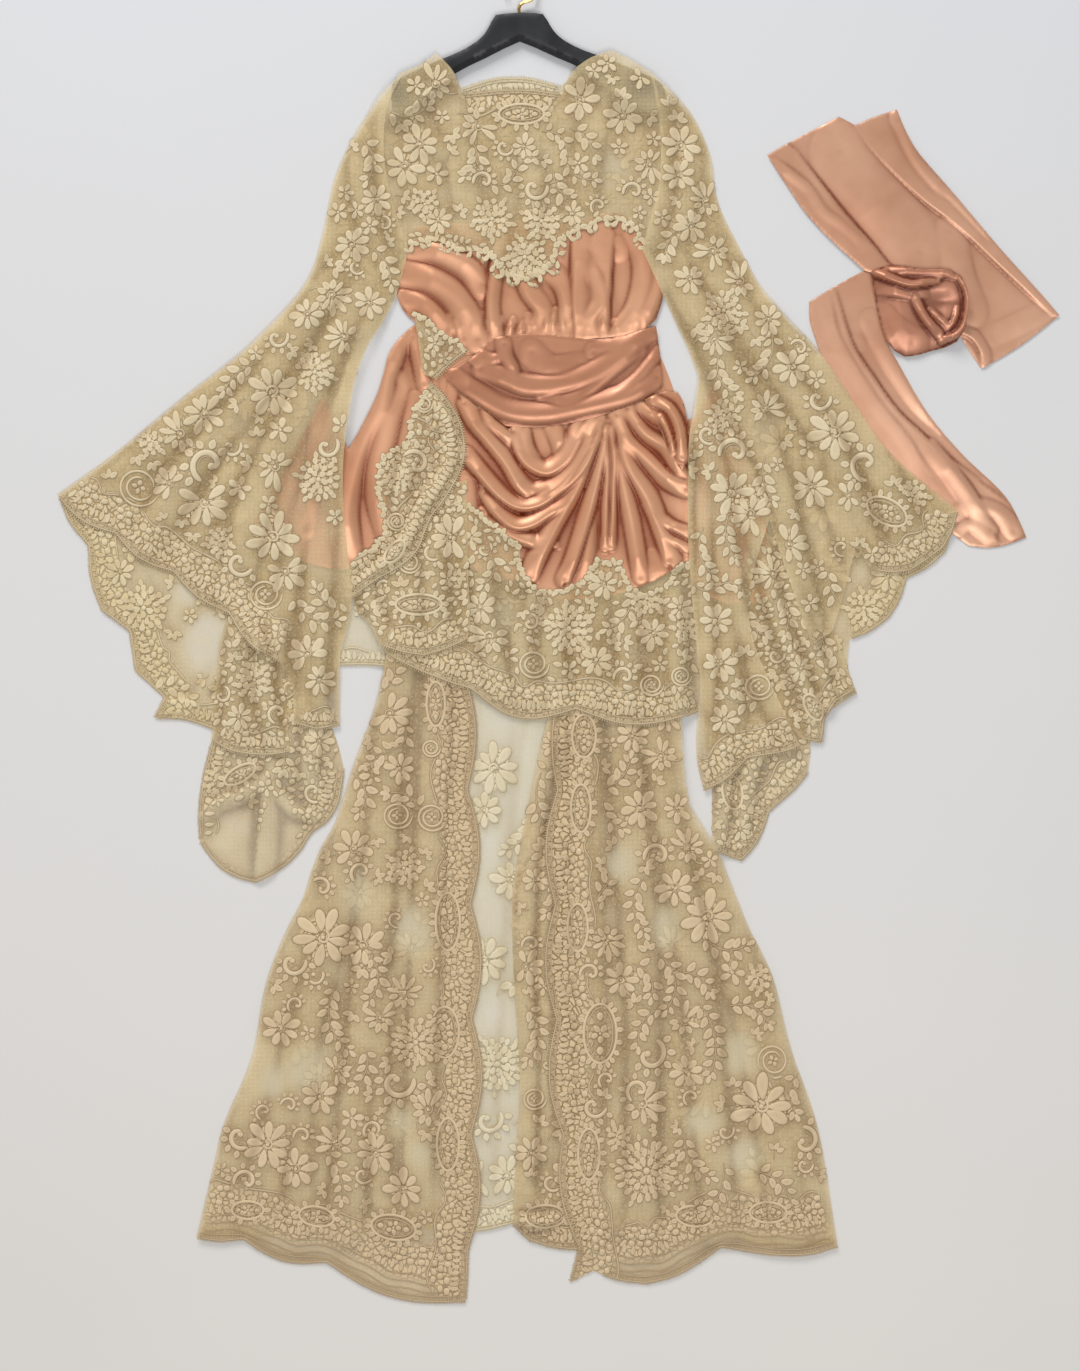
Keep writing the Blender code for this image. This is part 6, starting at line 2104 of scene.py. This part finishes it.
FINISHES = {
    # Satin rows: colour, mottled colour, painted crease shade colour, roughness and thread tilt
    "satin": satin_finish("peach_satin", (236, 178, 140), (202, 132, 92), (140, 66, 34), 0.36, 0.3),
    # Painted shade: a darker copy of the same satin for the wrap, for how the light falls on it
    "wrap": satin_finish("wrap_satin", (212, 150, 116), (178, 112, 78), (124, 58, 32), 0.34, 0.3),
    "sash": satin_finish("sash_satin", (236, 184, 152), (198, 134, 100), (140, 72, 44), 0.34, -0.4),
    # Painted shade: a darker copy of the same satin for the knot, with deeper painted crease shade
    "knot": satin_finish("knot_satin", (214, 152, 122), (182, 114, 84), (110, 46, 24), 0.34, -0.4),
    # Net rows: light colour, dense colour (partly painted shade), padded colour, painted fold shade colour, thread and
    # hole cover, and the share of painted window light
    "lace": net_finish(
        "sleeve_net", (250, 229, 182), (196, 165, 114), (234, 212, 172), (150, 122, 82),
        0.86, 0.36, 0.25,
    ),
    "skirt": net_finish(
        "skirt_net", (248, 225, 178), (190, 158, 110), (231, 205, 166), (142, 112, 76),
        0.86, 0.36, 0.85,
    ),
    "back": net_finish(
        "back_net", (254, 244, 212), (236, 217, 172), (246, 232, 198), (204, 181, 134),
        0.76, 0.26, 1.0,
    ),
    "sleeve_back": net_finish(
        "sleeve_back_net", (250, 230, 182), (206, 176, 122), (238, 217, 172), (168, 138, 92),
        0.88, 0.40, 0.6,
    ),
}
# Thread rows: light colour, dense colour, and the gap colour, partly the thread's brown outline and partly painted
# shade
THREADS = {
    "sleeve_back": thread_finish(
        "sleeve_back_thread", (246, 230, 192), (222, 199, 154), (150, 122, 80)
    ),
    "lace": thread_finish("sleeve_thread", (244, 227, 192), (218, 196, 155), (132, 104, 70)),
    "skirt": thread_finish("skirt_thread", (238, 215, 178), (213, 187, 148), (126, 98, 66)),
    "back": thread_finish("back_thread", (244, 233, 204), (228, 212, 174), (186, 164, 122)),
}


def dress_piece(name, laid):
    """One cloth piece: its mesh, its finish and what it says about itself."""
    cloth = laid.cloth
    piece = satin_shell(laid) if laid.satin else net_sheet(laid)
    piece.data.materials.append(FINISHES[cloth.finish])
    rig.ride(piece, "root")
    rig.replaces(piece, name)
    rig.slot(piece, "satin" if laid.satin else "lace")
    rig.sheet(
        piece, flat=cloth.flat, held=cloth.held, area=cloth.area, rests_on=cloth.rests_on,
        with_pieces=trims.get(name, []),
    )


def hidden_under(name):
    """The cells where nothing of this piece shows: under satin, or under two more layers."""
    order = list(laid_pieces)
    layers = np.zeros((GRID_ROWS, GRID_COLUMNS), np.int8)
    for above in order[order.index(name) + 1:]:
        laid = laid_pieces[above]
        layers[laid.rows, laid.columns][laid.inside] += 3 if laid.satin else 1
    return layers > 1


trims = {}
for name, laid in laid_pieces.items():
    work = None if laid.satin else lace_work(name, laid, hidden_under(name))
    if work is not None:
        work.data.materials.append(THREADS[laid.cloth.finish])
        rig.ride(work, "root")
        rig.slot(work, "lace")
        trims[name] = [work]
for name, laid in laid_pieces.items():
    dress_piece(name, laid)


# The hanger: a flat face, a bevel down to its lower edge, and the wire hook

def lower_edge(across):
    """How far down the hanger's lower edge is at each place across."""
    start, end = hanger_outline, np.roll(hanger_outline, -1, axis=0)
    found = []
    for x in np.atleast_1d(across):
        crossed = (start[:, 0] > x) != (end[:, 0] > x)
        share = (x - start[crossed, 0]) / (end[crossed, 0] - start[crossed, 0])
        downs = start[crossed, 1] + share * (end[crossed, 1] - start[crossed, 1])
        found.append(downs.max() if len(downs) else hanger_outline[:, 1].max())
    return np.array(found)


def hanger_shape():
    across = np.arange(hanger_outline[:, 0].min() + 16.0, hanger_outline[:, 0].max() - 14.0, 4.0)
    ridge = np.column_stack([across, lower_edge(across) - HANGER_BEVEL])
    points, faces, rim = flat_triangles(hanger_outline, 5.0, [ridge])
    closed = np.vstack([hanger_outline, hanger_outline[:1]])
    away, _ = away_from(closed, points[:, 0], points[:, 1])
    slope = np.clip(1.0 - (lower_edge(points[:, 0]) - points[:, 1]) / HANGER_BEVEL, 0.0, 1.0)
    rounded = ROUND_DROP * np.clip(1.0 - away / ROUND_REACH, 0.0, 1.0) ** 2
    top = hanger_high - rounded - BEVEL_DROP * slope
    number = len(points)
    below = np.arange(number, 2 * number)
    places = np.vstack([
        metres(points, top), metres(points, np.full(number, hanger_low)),
    ])
    around = np.arange(rim)
    after = (around + 1) % rim
    side = np.vstack([
        np.column_stack([around, below[around], after]),
        np.column_stack([after, below[around], below[after]]),
    ])
    return mesh_object("hanger_shaped", places, np.vstack([faces, below[faces][:, ::-1], side]))


hanger = hanger_shape()
hanger.data.materials.append(plastic_finish())
hanger.data.set_sharp_from_angle(angle=math.radians(35.0))
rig.ride(hanger, "root")
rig.replaces(hanger, "hanger_body")
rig.slot(hanger, "hanger")
hook_node = frame["nodes"]["hanger_hook"]
hook_node.data.materials.clear()
hook_node.data.materials.append(brass_finish())

# Floor, light and camera

bpy.ops.mesh.primitive_plane_add(size=14.0, location=(0.0, 0.0, -0.001))
floor = bpy.context.object
floor.name = "floor"
floor.data.materials.append(floor_finish())
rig.stage(floor)


def soft_light(name, place, aim, size, power, colour):
    data = bpy.data.lights.new(name, "AREA")
    data.shape = "SQUARE"
    data.size = size
    data.energy = power
    data.color = colour
    light = bpy.data.objects.new(name, data)
    light.location = place
    light.rotation_euler = (Vector(aim) - Vector(place)).to_track_quat("-Z", "Y").to_euler()
    bpy.context.scene.collection.objects.link(light)


soft_light("ceiling", (0.2, -0.9, 3.5), (0.0, -0.1, 0.0), 1.3, 44.0, (1.0, 0.985, 0.95))
soft_light("key", (-1.5, 4.6, 3.0), (0.0, 0.0, 0.0), 2.2, 168.0, (1.0, 0.985, 0.96))
world = bpy.data.worlds.new("soft_room")
world.use_nodes = True
world.node_tree.nodes["Background"].inputs["Color"].default_value = (0.97, 0.98, 1.0, 1.0)
world.node_tree.nodes["Background"].inputs["Strength"].default_value = 0.31
bpy.context.scene.world = world
bpy.context.scene.view_settings.view_transform = "Standard"

CAMERA_LENS = 85.0
CAMERA_SENSOR = 36.0
PHOTO_TALL = 1371.0
PHOTO_MIDDLE = (540.0, 685.5)
camera_data = bpy.data.cameras.new("camera")
camera_data.lens = CAMERA_LENS
camera_data.sensor_width = CAMERA_SENSOR
camera = bpy.data.objects.new("camera", camera_data)
camera_height = PHOTO_TALL * PHOTO_PIXEL * METRE * CAMERA_LENS / CAMERA_SENSOR
camera.location = (
    (PHOTO_MIDDLE[0] * PHOTO_PIXEL - CENTRE_ACROSS) * METRE,
    (CENTRE_DOWN - PHOTO_MIDDLE[1] * PHOTO_PIXEL) * METRE,
    camera_height,
)
bpy.context.scene.collection.objects.link(camera)
bpy.context.scene.camera = camera

visual_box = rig.bounds()
with open("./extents.json", "w") as sizes:
    sizes.write(str([[list(corner) for corner in cad_box], [list(corner) for corner in visual_box]]))
